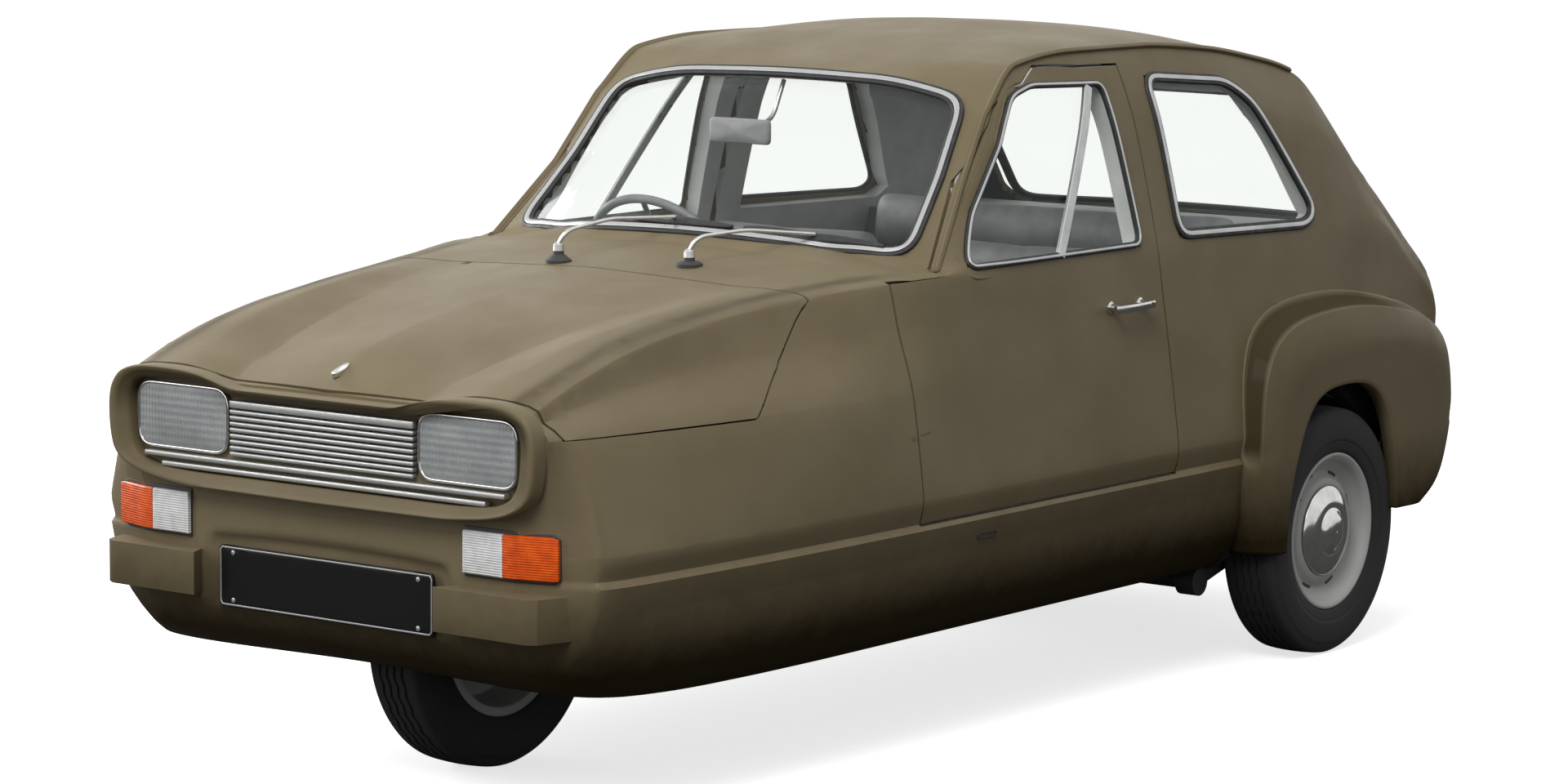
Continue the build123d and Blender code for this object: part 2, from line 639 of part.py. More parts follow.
# Wipers: a stem through the scuttle, an arm and a blade each.
wiper_feet = ((rear(1664), -105), (rear(1598), 165))
wipers = []
for x, y in wiper_feet:
    foot = rod((x, y, B - 8), (x, y, B + 30), 9)
    foot += rod((x, y, B + 24), (x - 88, y - 150, B + 46), 4)
    foot += rod((x - 118, y - 318, B + 34), (x - 62, y + 10, B + 52), 4)
    wipers.append(foot - proud)

# ---------------------------------------------------------------- tail pieces
tail_face = tail_x - seat_gap
tail_lamp = rounded_panel(tail_x - 20, tail_face, half_width - 210, half_width - 110, 500, 620, 18)
rear_plate = block(tail_x - 7, tail_face, -plate_size[0] / 2, plate_size[0] / 2, 520, 520 + plate_size[1])
rear_block = block(rear(-594), rear(-440), half_width - 222, half_width - 94, 396, 452) - proud
exhaust = rod((rear(-422), 150, 258), (rear(-588), 160, 256), 20)
exhaust -= rod((rear(-560), 158.3, 256.3), (rear(-600), 160.7, 255.9), 17)

# ---------------------------------------------------------------- wheels
hub_radius = 52.0
bearing_radius = 14.0
stub_radius = bearing_radius - bore_play
disc_out = 18.0              # wheel disc's place, towards the outside of the wheel


def ring(profile, x, y, z):
    """Solid of revolution about the axle from (across, radius) points; +across is the car's left."""
    face = Face(Wire.make_polygon([Vector(0, a, r) for a, r in profile], close=True))
    return revolve(face, Axis((0, 0, 0), (0, 1, 0)), 360).solids()[0].moved(Location((x, y, z)))


def tyre(x, y, out):
    """Tyre: beads on the rim, full sidewalls, flat tread."""
    r = tyre_radius
    w = tyre_width / 2
    f = rim_radius
    half = [(w - 14, f - 11), (w - 14, f + 1), (w - 7, f + 5), (w - 2, f + 26),
            (w, f + 48), (w - 3, r - 26), (w - 12, r - 9), (w - 24, r - 2), (0, r)]
    points = half + [(-a, b) for a, b in reversed(half) if a > 0]
    return ring(points, x, y, axle_z)


def rim(x, y, out):
    """Rim, dished disc and hub in one; out is +1 where the hub's outer end faces left."""
    w = tyre_width / 2
    f = rim_radius
    outline = [
        (-w + 9, f), (-w + 14 - seat_gap, f), (-w + 14 - seat_gap, f - 11 - seat_gap),
        (w - 14 + seat_gap, f - 11 - seat_gap), (w - 14 + seat_gap, f), (w - 9, f),
        (w - 10, f - 17), (30, f - 22), (disc_out + 8, 128), (disc_out + 22, 92), (disc_out + 22, hub_radius),
        (disc_out + 22, bearing_radius), (-28, bearing_radius), (-28, hub_radius),
        (disc_out + 14, hub_radius), (disc_out + 14, 90), (disc_out, 126), (disc_out, f - 30),
        (-w + 10, f - 17),
    ]
    return ring([(out * a, b) for a, b in outline], x, y, axle_z)


def hubcap(x, y, out):
    """Pressed cap with a raised middle, over the hub's outer end."""
    a = disc_out + 22 + seat_gap
    outline = [(a, 96), (a, 88), (a + 5, 84), (a + 10, 50), (a + 22, 44), (a + 27, 0),
               (a + 30, 0), (a + 26, 46), (a + 13, 54), (a + 8, 88), (a + 4, 96)]
    return ring([(out * p, q) for p, q in outline], x, y, axle_z)


wheels = {
    "front": (front(0), 0.0, -1),
    "rear_left": (rear(0), track / 2, 1),
    "rear_right": (rear(0), -track / 2, -1),
}

# Rear arms with their stub axles, dampers, shafts.
arm_y = well_inner_y + 22


def rear_arm():
    """Left trailing arm, brake drum and stub axle."""
    y = track / 2
    arm = rod((rear(330), arm_y, 185), (rear(0), arm_y, axle_z), 20)
    arm += rod((rear(330), arm_y - 22, 185), (rear(330), arm_y + 22, 185), 30)
    arm += rod((rear(0), arm_y - 16, axle_z), (rear(0), y - 66, axle_z), 45)
    arm += rod((rear(0), y - 68, axle_z), (rear(0), y - 36, axle_z), 100)
    arm += rod((rear(0), y - 40, axle_z), (rear(0), y + 38, axle_z), stub_radius)
    arm += rod((rear(120), arm_y, 240), (rear(135), arm_y, 500), 13)
    arm += rod((rear(126), arm_y, 360), (rear(135), arm_y, 500), 19)
    return arm


shaft = rod((rear(0), 100, axle_z), (rear(0), arm_y - 20 - seat_gap, axle_z), 14)
engine_block = block(rear(-420), rear(-62), -190, 190, floor_z, 610)
transaxle = block(rear(-62) + seat_gap, rear(88), -110, 110, 190, 340) + shaft + mirror_y(shaft)
cross_y = arm_y - 22 - seat_gap
chassis = block(rear(-420), front(-310), 185, 235, 176, floor_z - seat_gap)
chassis += block(rear(-420), front(-310), -235, -185, 176, floor_z - seat_gap)
for x in (rear(-420), rear(300), front(-360)):
    chassis += block(x, x + 50, -235, 235, 178, floor_z - seat_gap)
chassis += rod((rear(330), -cross_y, 185), (rear(330), cross_y, 185), 18)

# Front fork: a kingpin over the wheel, one leg down its left side and the stub axle.
kingpin_radius = 18.0
carrier_z = well_top + well_wall + seat_gap
front_carrier = rod((front(0), 0, carrier_z), (front(0), 0, carrier_z + 12), 70)
front_carrier += rod((front(0), 0, carrier_z), (front(0), 0, 770), 38)
front_carrier -= rod((front(0), 0, 600), (front(0), 0, 800), kingpin_radius + bore_play)
front_wheel_well -= rod((front(0), 0, 600), (front(0), 0, 700), kingpin_radius + 12)
fork_y = 96.0
front_fork = rod((front(0), 0, 560), (front(0), 0, 760), kingpin_radius)
front_fork += block(front(-34), front(34), -34, fork_y + 14, 548, 580)
front_fork += block(front(-30), front(30), fork_y - 14, fork_y + 14, axle_z - 34, 580)
front_fork += rod((front(0), 45, axle_z), (front(0), fork_y, axle_z), 34)
front_fork += rod((front(0), 30, axle_z), (front(0), 69, axle_z), 92)
front_fork += rod((front(0), fork_y, axle_z), (front(0), -38, axle_z), stub_radius)

# ---------------------------------------------------------------- door fittings
handle_z = 808.0
handle_y = on_side(handle_z)
door_handle = rod((rear(682), handle_y - 6, handle_z), (rear(682), handle_y + 22, handle_z), 11)
door_handle += rod((rear(682), handle_y + 20, handle_z), (rear(812), handle_y + 24, handle_z - 2), 7)
door_handle -= proud
bar_outline = [(rear(938), B - 8), (rear(974), B - 8), (rear(752), G - 50), (rear(716), G - 50)]
window_bar = side_prism(bar_outline, 300, SIDE) & side_prism(grown(door_window, -1), 300, SIDE)
window_bar = window_bar & (skin(-1) - skin(glass_inset - seat_gap))

# ---------------------------------------------------------------- cabin
dash_top_z = belt_z - 37
dash_half = belt_half - cabin_wall - 25      # half-width of its flat top
dashboard = lining & side_prism([
    (rear(1300), 800), (rear(1312), 770), (rear(1470), 770), (rear(1470), dash_top_z - 20),
    (rear(1450), dash_top_z), (rear(1330), dash_top_z), (rear(1300), dash_top_z - 22),
], -SIDE, SIDE)
for y0, y1 in ((dash_half, SIDE), (-SIDE, -dash_half)):
    dashboard -= block(rear(1200), rear(1500), y0, y1, dash_top_z - 24, 2000)
column_tilt = radians(30)
wheel_centre = (rear(1055), -313.0, 830.0)
steering_radius = 190.0
column_axis = Vector(-cos(column_tilt), 0, sin(column_tilt))


def along_column(t):
    """Point on the steering column's axis, t towards the driver from the wheel's centre."""
    return (wheel_centre[0] + column_axis.X * t, wheel_centre[1], wheel_centre[2] + column_axis.Z * t)


column_pin = 8.0
steering_column = rod(along_column(-36), along_column(-760), 20)
steering_column += rod(along_column(-40), along_column(0), column_pin)
steering_column = steering_column - block(bulkhead_x - 12 - seat_gap, bulkhead_x + 400, -SIDE, SIDE, 0, 2000)
column_plane = Plane(origin=Vector(*wheel_centre), z_dir=column_axis)
steering_wheel = Solid.make_torus(steering_radius, 9, column_plane)
steering_wheel += rod(along_column(-30), along_column(16), 30)
for angle in (-150, -30, 90):
    a = radians(angle)
    tip = column_plane.from_local_coords(Vector(steering_radius * cos(a), steering_radius * sin(a), 0))
    steering_wheel += rod(along_column(0), (tip.X, tip.Y, tip.Z), 6)
steering_wheel -= rod(along_column(-60), along_column(1), column_pin + bore_play)

seat_y = (60.0, half_width - 130)
seat_frame = block(rear(700), rear(1120), seat_y[0] + 30, seat_y[1] - 30, floor_z_top + seat_gap, 330)
seat_frame -= block(rear(720), rear(1100), seat_y[0] + 50, seat_y[1] - 50, 0, 318)
seat_profile = [
    (rear(1150), 350), (rear(1165), 410), (rear(1140), 462), (rear(780), 440), (rear(716), 900),
    (rear(690), 930), (rear(640), 926), (rear(625), 890), (rear(690), 400),
    (rear(730), 330 + seat_gap), (rear(1120), 330 + seat_gap),
]
front_seat = side_prism(seat_profile, *seat_y)
rear_half = well_inner_y - 18
rear_seat = side_prism([
    (rear(520), floor_z_top + seat_gap), (rear(530), 380), (rear(500), 418), (rear(235), 390),
    (rear(150), 900),
    (rear(118), 965), (rear(60), 965), (rear(40), 893), (rear(26), 893), (rear(26), 880), (rear(126), 310),
    (rear(126), floor_z_top + seat_gap)], -rear_half, rear_half)

mirror_x = rear(1190)
interior_mirror = rounded_panel(mirror_x, mirror_x + 14, -95, 55, 1122, 1176, 10)
interior_mirror += rod((mirror_x + 8, -20, 1150), (rear(1088), -20, 1168), 5)
interior_mirror += rod((rear(1090), -20, 1166), (rear(1050), -20, 1275), 5)
interior_mirror = interior_mirror & lining
gear_lever = rod((rear(1240), 0, floor_z_top + 1.5), (rear(1200), 0, 520), 7)
gear_lever += Solid.make_sphere(20, Plane(origin=(rear(1200), 0, 530)))
pedals = []
for y in (-240, -370, -440):
    pedal = block(rear(1520), rear(1528), y - 25, y + 25, 330, 400)
    pedal += rod((rear(1526), y, 395), (bulkhead_x - 12 - seat_gap, y, 520), 6)
    pedals.append(pedal - block(bulkhead_x - 12 - seat_gap, bulkhead_x + 50, -SIDE, SIDE, 0, 900))

# ---------------------------------------------------------------- write
nodes = {
    "nose_shell": nose_shell,
    "cabin_shell": cabin_shell,
    "tail_shell": tail_shell,
    "bonnet": bonnet,
    "bonnet_catch": bonnet_catch,
    "engine_lid": engine_lid,
    "rear_plate": rear_plate,
    "windscreen": screen_glass,
    "rear_window": rear_glass,
    "quarter_glass": [quarter_glass, mirror_y(quarter_glass)],
    "nose_surround": nose_surround,
    "grille": [grille] + strips,
    "headlamps": [headlamp, mirror_y(headlamp)],
    "sidelamps": [sidelamp, mirror_y(sidelamp)],
    "flashers": [flasher, mirror_y(flasher)],
    "tail_lamps": [tail_lamp, mirror_y(tail_lamp)],
    "front_plate": front_plate,
    "bumper_blocks": [bumper, mirror_y(bumper), rear_block, mirror_y(rear_block)],
    "wipers": wipers,
    "front_wheel_well": front_wheel_well,
    "rear_wheel_wells": [housing, mirror_y(housing)],
    "bulkhead": bulkhead,
    "rear_panel": rear_panel,
    "chassis": chassis,
    "engine_block": engine_block,
    "transaxle": transaxle,
    "exhaust": exhaust,
    "rear_arms": [rear_arm(), mirror_y(rear_arm())],
    "front_carrier": front_carrier,
    "front_fork": front_fork,
    "dashboard": dashboard,
    "steering_column": steering_column,
    "steering_wheel": steering_wheel,
    "front_seats": [front_seat, mirror_y(front_seat)],
    "seat_frames": [seat_frame, mirror_y(seat_frame)],
    "rear_seat": rear_seat,
    "interior_mirror": interior_mirror,
    "controls": [gear_lever] + pedals,
}
for side in ("left", "right"):
    flip = mirror_y if side == "right" else (lambda shape: shape)
    nodes["door_" + side] = flip(door)
    nodes["door_glass_" + side] = flip(door_glass)
    nodes["door_trim_" + side] = [flip(door_handle), flip(window_bar)]
for place, (x, y, out) in wheels.items():
    nodes[place + "_tyre"] = tyre(x, y, out)
    nodes[place + "_rim"] = rim(x, y, out)
    nodes[place + "_hubcap"] = hubcap(x, y, out)
for name, shape in nodes.items():
    write(name, shape)
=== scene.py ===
"""Looks of a small three wheeled saloon car: paint, glass, lamps, trim, wheels and cabin.

Each sub-assembly is a class that holds its sizes and builds its own pieces. Every new piece
is a surface worked out as whole arrays, in metres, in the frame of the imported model: +X ahead,
+Y to the car's left, +Z up, with the ground at zero.
"""
from __future__ import annotations

import json
import logging
import math
from collections.abc import Callable, Sequence
from dataclasses import dataclass, field
from enum import Enum, IntEnum
from typing import NamedTuple

import bmesh
import bpy
import numpy as np
from mathutils import Matrix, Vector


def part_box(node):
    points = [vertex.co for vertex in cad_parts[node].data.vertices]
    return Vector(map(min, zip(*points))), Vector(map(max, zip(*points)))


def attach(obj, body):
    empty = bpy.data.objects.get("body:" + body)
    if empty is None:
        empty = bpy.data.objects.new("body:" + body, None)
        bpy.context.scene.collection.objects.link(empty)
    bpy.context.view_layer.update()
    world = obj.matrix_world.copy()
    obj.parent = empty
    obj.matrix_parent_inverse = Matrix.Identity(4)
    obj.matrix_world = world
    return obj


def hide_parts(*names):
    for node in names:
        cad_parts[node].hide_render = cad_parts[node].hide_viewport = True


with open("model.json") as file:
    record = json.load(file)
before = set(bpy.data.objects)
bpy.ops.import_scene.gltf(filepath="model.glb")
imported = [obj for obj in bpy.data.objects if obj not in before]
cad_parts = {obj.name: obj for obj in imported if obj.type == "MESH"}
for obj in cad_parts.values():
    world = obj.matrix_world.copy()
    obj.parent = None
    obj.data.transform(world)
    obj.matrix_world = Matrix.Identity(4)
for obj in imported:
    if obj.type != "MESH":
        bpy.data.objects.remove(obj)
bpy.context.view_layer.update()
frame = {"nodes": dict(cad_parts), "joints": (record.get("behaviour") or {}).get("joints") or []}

LOG = logging.getLogger("car")
MM = 0.001
Array = np.ndarray
JOINTS = {joint["name"]: joint for joint in frame["joints"]}
REAR_X = JOINTS["rear_wheel_left_spin"]["pos_m"][0]
FRONT_X = JOINTS["front_wheel_spin"]["pos_m"][0]
WHEEL_Y = JOINTS["rear_wheel_left_spin"]["pos_m"][1]
AXLE_Z = JOINTS["front_wheel_spin"]["pos_m"][2]


def rear(d: float) -> float:
    """Place along the car in metres, d millimetres ahead of the rear axle."""
    return REAR_X + d * MM


def front(d: float) -> float:
    """Place along the car in metres, d millimetres ahead of the front axle."""
    return FRONT_X + d * MM


# ---------------------------------------------------------------- finishes
def srgb(red: float, green: float, blue: float) -> tuple[float, float, float, float]:
    """Linear colour of an everyday 0 to 255 colour.

    Args:
        red, green, blue: the three parts as a paint chart gives them.

    Returns:
        Linear red, green, blue and an alpha of one.
    """
    parts = np.array([red, green, blue]) / 255.0
    linear = np.where(parts <= 0.04045, parts / 12.92, ((parts + 0.055) / 1.055) ** 2.4)
    return (*linear.tolist(), 1.0)


class Nodes:
    """A material's node tree, with short ways to add and join its nodes."""

    def __init__(self, name: str) -> None:
        """Starts an empty material with a Principled shader and its output."""
        self.material = bpy.data.materials.new(name)
        self.material.use_nodes = True
        self.tree = self.material.node_tree
        self.tree.nodes.clear()
        self.shader = self.tree.nodes.new("ShaderNodeBsdfPrincipled")
        self.output = self.tree.nodes.new("ShaderNodeOutputMaterial")
        self.join(self.shader.outputs[0], self.output.inputs["Surface"])
        self.place = self.tree.nodes.new("ShaderNodeTexCoord").outputs["Object"]

    def join(self, source: bpy.types.NodeSocket, target: bpy.types.NodeSocket) -> None:
        """Links one socket to another."""
        self.tree.links.new(source, target)

    def give(self, value: object, socket: bpy.types.NodeSocket) -> None:
        """Links a socket to another that gives its value, or sets the plain value."""
        if isinstance(value, bpy.types.NodeSocket):
            self.join(value, socket)
        else:
            socket.default_value = value

    def set(self, **values: object) -> None:
        """Sets the shader's own sockets; an underscore stands for a space in a socket's name."""
        for name, value in values.items():
            self.shader.inputs[name.replace("_", " ").replace("Ior", "IOR")].default_value = value

    def noise(self, scale: float, detail: float = 4.0, rough: float = 0.55) -> bpy.types.NodeSocket:
        """Cloudy noise on the piece's own coordinates.

        Args:
            scale: lumps to a metre.
            detail: how many finer layers it has.
            rough: how strong the finer layers are.

        Returns:
            The noise's factor, from 0 to 1.
        """
        node = self.tree.nodes.new("ShaderNodeTexNoise")
        node.inputs["Scale"].default_value = scale
        node.inputs["Detail"].default_value = detail
        node.inputs["Roughness"].default_value = rough
        self.join(self.place, node.inputs["Vector"])
        return node.outputs["Fac"]

    def wave(self, scale: float, axis: str) -> bpy.types.NodeSocket:
        """Even ridges across one axis.

        Args:
            scale: how dense the ridges are.
            axis: X, Y or Z.

        Returns:
            The ridges' factor, from 0 to 1.
        """
        node = self.tree.nodes.new("ShaderNodeTexWave")
        node.bands_direction = axis
        node.inputs["Scale"].default_value = scale
        self.join(self.place, node.inputs["Vector"])
        return node.outputs["Fac"]

    def height(self, low: float, high: float) -> bpy.types.NodeSocket:
        """A ramp up the car: 0 at and under low, 1 at and over high, in metres."""
        split = self.tree.nodes.new("ShaderNodeSeparateXYZ")
        self.join(self.place, split.inputs[0])
        return self.range(split.outputs["Z"], low, high, 0.0, 1.0)

    def range(self, source: bpy.types.NodeSocket, low: float, high: float,
              out_low: float, out_high: float) -> bpy.types.NodeSocket:
        """Maps a factor from one range to another, clamped.

        Args:
            source: the factor.
            low, high: the range that it comes from.
            out_low, out_high: the range that it goes to.

        Returns:
            The new factor.
        """
        node = self.tree.nodes.new("ShaderNodeMapRange")
        limits = {"From Min": low, "From Max": high, "To Min": out_low, "To Max": out_high}
        for socket, value in limits.items():
            node.inputs[socket].default_value = value
        self.join(source, node.inputs["Value"])
        return node.outputs[0]

    def mix(self, factor: bpy.types.NodeSocket | float, first: object,
            second: object) -> bpy.types.NodeSocket:
        """Mixes two colours, each a colour or a socket.

        Args:
            factor: how much of the second shows.
            first, second: the colours.

        Returns:
            The mixed colour.
        """
        node = self.tree.nodes.new("ShaderNodeMix")
        node.data_type = "RGBA"
        for socket, value in (("Factor", factor), (6, first), (7, second)):
            self.give(value, node.inputs[socket])
        return node.outputs[2]

    def calculate(self, operation: str, *values: object) -> bpy.types.NodeSocket:
        """The result of a named operation on factors and numbers."""
        node = self.tree.nodes.new("ShaderNodeMath")
        node.operation = operation
        for socket, value in zip(node.inputs, values):
            self.give(value, socket)
        return node.outputs[0]

    def colour(self, source: bpy.types.NodeSocket) -> None:
        """Gives the shader its colour."""
        self.join(source, self.shader.inputs["Base Color"])

    def roughness(self, source: bpy.types.NodeSocket, low: float, high: float) -> None:
        """Lets the roughness wander between two values with a factor."""
        self.join(self.range(source, 0.3, 0.7, low, high), self.shader.inputs["Roughness"])

    def bump(self, source: bpy.types.NodeSocket, strength: float, depth: float) -> None:
        """Adds a relief of a given depth in metres, over any that is there already."""
        node = self.tree.nodes.new("ShaderNodeBump")
        node.inputs["Strength"].default_value = strength
        node.inputs["Distance"].default_value = depth
        self.join(source, node.inputs["Height"])
        links = self.shader.inputs["Normal"].links
        if links:
            self.join(links[0].from_socket, node.inputs["Normal"])
        self.join(node.outputs[0], self.shader.inputs["Normal"])


@dataclass(frozen=True)
class Finish:
    """A finish with a colour that wanders a little and a fine relief.

    Attributes:
        name: the material's name.
        slot: the record's material slot that it stands for; not used.
        colour: the paint chart colour of the lighter parts.
        shade: the colour of the darker parts.
        scale: lumps of the colour pattern to a metre.
        rough: lowest and highest roughness.
        grain: relief as lumps to a metre, strength and depth in metres.
        metal: how metallic it is.
        coat: weight of a clear coat.
        sheen: weight of a soft sheen.
        gloss: strength of its plain reflection, 0.5 for common plastics.
    """

    name: str
    slot: str
    colour: tuple[float, float, float]
    shade: tuple[float, float, float]
    scale: float = 8.0
    rough: tuple[float, float] = (0.4, 0.5)
    grain: tuple[float, float, float] = (900.0, 0.15, 0.0003)
    metal: float = 0.0
    coat: float = 0.0
    sheen: float = 0.0
    gloss: float = 0.5

    def build(self) -> bpy.types.Material:
        """Makes the material once, and finds it again after that.

        Returns:
            The material.
        """
        found = bpy.data.materials.get(self.name)
        if found is not None:
            return found
        nodes = Nodes(self.name)
        nodes.set(Metallic=self.metal, Coat_Weight=self.coat, Coat_Roughness=0.12,
                  Sheen_Weight=self.sheen, Specular_IOR_Level=self.gloss)
        self.dress(nodes)
        return nodes.material

    def cloudy(self, nodes: Nodes, clouds: bpy.types.NodeSocket, low: float,
               high: float) -> bpy.types.NodeSocket:
        """Its two colours, mixed as the clouds go from a low to a high value."""
        share = nodes.range(clouds, low, high, 0.0, 1.0)
        return nodes.mix(share, srgb(*self.colour), srgb(*self.shade))

    def dress(self, nodes: Nodes) -> None:
        """Adds the pattern; a finish with more to show adds to this."""
        clouds = nodes.noise(self.scale, 6.0)
        nodes.colour(self.cloudy(nodes, clouds, 0.35, 0.65))
        nodes.roughness(clouds, *self.rough)
        if self.grain[1] > 0:
            nodes.bump(nodes.noise(self.grain[0], 3.0), self.grain[1], self.grain[2])


@dataclass(frozen=True)
class BodyPaint(Finish):
    """Gelcoat paint: flecked, with a faint orange peel; darker towards the sills with road dirt and
    painted shade, and darker with painted shade wherever its cove attribute says.
    """

    # Colour of the road dirt and painted shade at the sills, and of all painted shade from the cove
    # attribute.
    film_and_painted_shade: tuple[float, float, float] = (40, 31, 14)
    film_and_shade_top: float = 0.47

    def dress(self, nodes: Nodes) -> None:
        """Paint, its flecks, the road dirt and painted shade that thin upwards, the painted shade of the
        cove attribute, and the peel.
        """
        clouds = nodes.noise(self.scale, 5.0)
        paint = self.cloudy(nodes, clouds, 0.3, 0.7)
        fleck = nodes.range(nodes.noise(1500.0, 2.0, 0.7), 0.35, 0.75, 0.93, 1.07)
        node = nodes.tree.nodes.new("ShaderNodeVectorMath")
        node.operation = "SCALE"
        nodes.join(paint, node.inputs[0])
        nodes.join(fleck, node.inputs["Scale"])
        # Darker towards the bottom, with a cloudy upper edge: road dirt and painted shade under the sill's
        # crease.
        up = nodes.height(0.20, self.film_and_shade_top)
        reach = nodes.calculate("MULTIPLY_ADD", nodes.noise(22.0, 6.0, 0.65), 0.22, up)
        film_and_painted_shade = nodes.range(reach, 0.40, 1.06, 0.93, 0.0)
        # The cove attribute holds painted shade: bands under the bonnet's shoulder, in the wings' coves
        # and inside the lamp surround's lip.
        cove = nodes.tree.nodes.new("ShaderNodeAttribute")
        cove.attribute_name = "cove"
        film_and_shade_share = nodes.calculate("MAXIMUM", film_and_painted_shade, cove.outputs["Fac"])
        nodes.colour(nodes.mix(film_and_shade_share, node.outputs[0], srgb(*self.film_and_painted_shade)))
        # Less reflection where the dirt and painted shade lie.
        gloss = nodes.range(film_and_shade_share, 0.0, 0.8, self.gloss, 0.02)
        nodes.join(gloss, nodes.shader.inputs["Specular IOR Level"])
        nodes.roughness(clouds, *self.rough)
        nodes.bump(nodes.noise(240.0, 1.0), 0.05, 0.0004)
        nodes.bump(nodes.noise(self.grain[0], 2.0), self.grain[1], self.grain[2])


@dataclass(frozen=True)
class Glass(Finish):
    """Clear or frosted glass: see-through, faintly tinted, with a film of dust.

    Attributes:
        clear: how much of the light goes through.
        flutes: ridges to a metre across the car for a lamp lens, or 0.
    """

    clear: float = 1.0
    flutes: float = 0.0

    def dress(self, nodes: Nodes) -> None:
        """Tint, dust, and a lens's flutes where it has them."""
        dust = nodes.noise(14.0, 5.0)
        nodes.set(Ior=1.45, Transmission_Weight=self.clear)
        nodes.colour(self.cloudy(nodes, dust, 0.3, 0.7))
        nodes.roughness(dust, *self.rough)
        if self.flutes > 0:
            nodes.bump(nodes.wave(self.flutes, "Y"), 0.6, 0.002)
            nodes.bump(nodes.wave(self.flutes * 0.6, "Z"), 0.35, 0.0015)


@dataclass(frozen=True)
class Pane(Finish):
    """Thin window glass that lets the light straight through, with a reflection at a slant."""

    def dress(self, nodes: Nodes) -> None:
        """Mixes a clear pass-through with a glossy reflection by the angle it is seen at."""
        nodes.tree.nodes.remove(nodes.shader)
        clear = nodes.tree.nodes.new("ShaderNodeBsdfTransparent")
        clear.inputs[0].default_value = srgb(*self.colour)
        shine = nodes.tree.nodes.new("ShaderNodeBsdfGlossy")
        shine.inputs["Color"].default_value = srgb(*self.shade)
        nodes.join(nodes.range(nodes.noise(9.0), 0.3, 0.7, *self.rough), shine.inputs["Roughness"])
        facing = nodes.tree.nodes.new("ShaderNodeLayerWeight")
        facing.inputs["Blend"].default_value = 0.35
        blend = nodes.tree.nodes.new("ShaderNodeMixShader")
        nodes.join(nodes.range(facing.outputs["Facing"], 0.35, 1.0, 0.015, 0.4), blend.inputs[0])
        nodes.join(clear.outputs[0], blend.inputs[1])
        nodes.join(shine.outputs[0], blend.inputs[2])
        nodes.join(blend.outputs[0], nodes.output.inputs["Surface"])


@dataclass(frozen=True)
class Ribbed(Finish):
    """A finish with even ridges, such as a lens, a tread or corrugated vinyl.

    Attributes:
        ridges: how dense the ridges are.
        axis: the axis that they follow each other along.
        depth: their depth in metres.
    """

    ridges: float = 60.0
    axis: str = "Z"
    depth: float = 0.0015

    def dress(self, nodes: Nodes) -> None:
        """The plain finish, then the ridges."""
        super().dress(nodes)
        nodes.bump(nodes.wave(self.ridges, self.axis), 0.5, self.depth)


PAINT = BodyPaint("khaki_gelcoat", "body_paint", (127, 115, 89), (117, 105, 80), 5.0, (0.42, 0.55),
                  (1800.0, 0.12, 0.0002), coat=0.03, gloss=0.16)
CHROME = Finish("bright_chrome", "chrome", (214, 214, 210), (196, 197, 195), 30.0, (0.10, 0.2),
                (700.0, 0.03, 0.0001), metal=1.0)
DULL_METAL = Finish("brushed_alloy", "chrome", (205, 205, 202), (188, 189, 187), 60.0, (0.3, 0.45),
                    (1200.0, 0.1, 0.0002), metal=0.85)
WINDOW = Pane("window_glass", "glass", (252, 253, 252), (235, 240, 238), 9.0, (0.01, 0.05))
LENS = Glass("fluted_lens", "lamp_glass", (196, 199, 199), (168, 172, 173), 20.0, (0.22, 0.4),
             clear=0.35, flutes=38.0)
REFLECTOR = Finish("lamp_reflector", "chrome", (186, 188, 188), (150, 153, 154), 40.0, (0.18, 0.35),
                   (300.0, 0.2, 0.0005), metal=1.0)
CLEAR_LENS = Ribbed("clear_lamp_lens", "lamp_glass", (236, 237, 236), (216, 218, 218), 60.0,
                    (0.25, 0.4), coat=0.6, ridges=70.0, axis="Z", depth=0.0012)
AMBER = Ribbed("amber_lens", "amber", (244, 98, 8), (214, 74, 4), 45.0, (0.34, 0.46),
               coat=0.1, gloss=0.3, ridges=70.0, axis="Z", depth=0.0012)
RED = Ribbed("red_lens", "red_lens", (172, 22, 18), (120, 10, 10), 45.0, (0.2, 0.35),
             coat=0.7, ridges=70.0, axis="Z", depth=0.0012)
PLATE = Finish("plate_black", "plate_black", (30, 32, 34), (22, 23, 25), 25.0, (0.35, 0.55),
               (1500.0, 0.1, 0.0002))
SEAL = Finish("window_rubber", "black_plastic", (34, 34, 35), (22, 22, 23), 40.0, (0.45, 0.65),
              (1400.0, 0.2, 0.0003))
TRIM = Finish("grey_trim", "chrome", (190, 191, 190), (178, 179, 179), 20.0, (0.22, 0.4),
              (900.0, 0.06, 0.0002), metal=0.7)
TYRE = Finish("tyre_rubber", "tyre_rubber", (27, 27, 28), (18, 18, 19), 30.0, (0.6, 0.85),
              (800.0, 0.35, 0.0005))
RIM = Finish("wheel_silver", "wheel_silver", (138, 139, 138), (112, 113, 113), 25.0, (0.32, 0.5),
             (1100.0, 0.15, 0.0002), metal=0.35, coat=0.3)
VINYL = Finish("seat_vinyl", "vinyl_grey", (228, 228, 226), (212, 212, 211), 18.0, (0.42, 0.58),
               (620.0, 0.35, 0.0005), sheen=0.15)
DARK_VINYL = Finish("dark_vinyl", "inner_grey", (150, 150, 152), (128, 129, 131), 18.0, (0.42, 0.6),
                    (620.0, 0.35, 0.0005), sheen=0.1)
LINING = Finish("inner_lining", "inner_grey", (226, 226, 226), (210, 211, 211), 12.0, (0.6, 0.75),
                (480.0, 0.35, 0.0006))
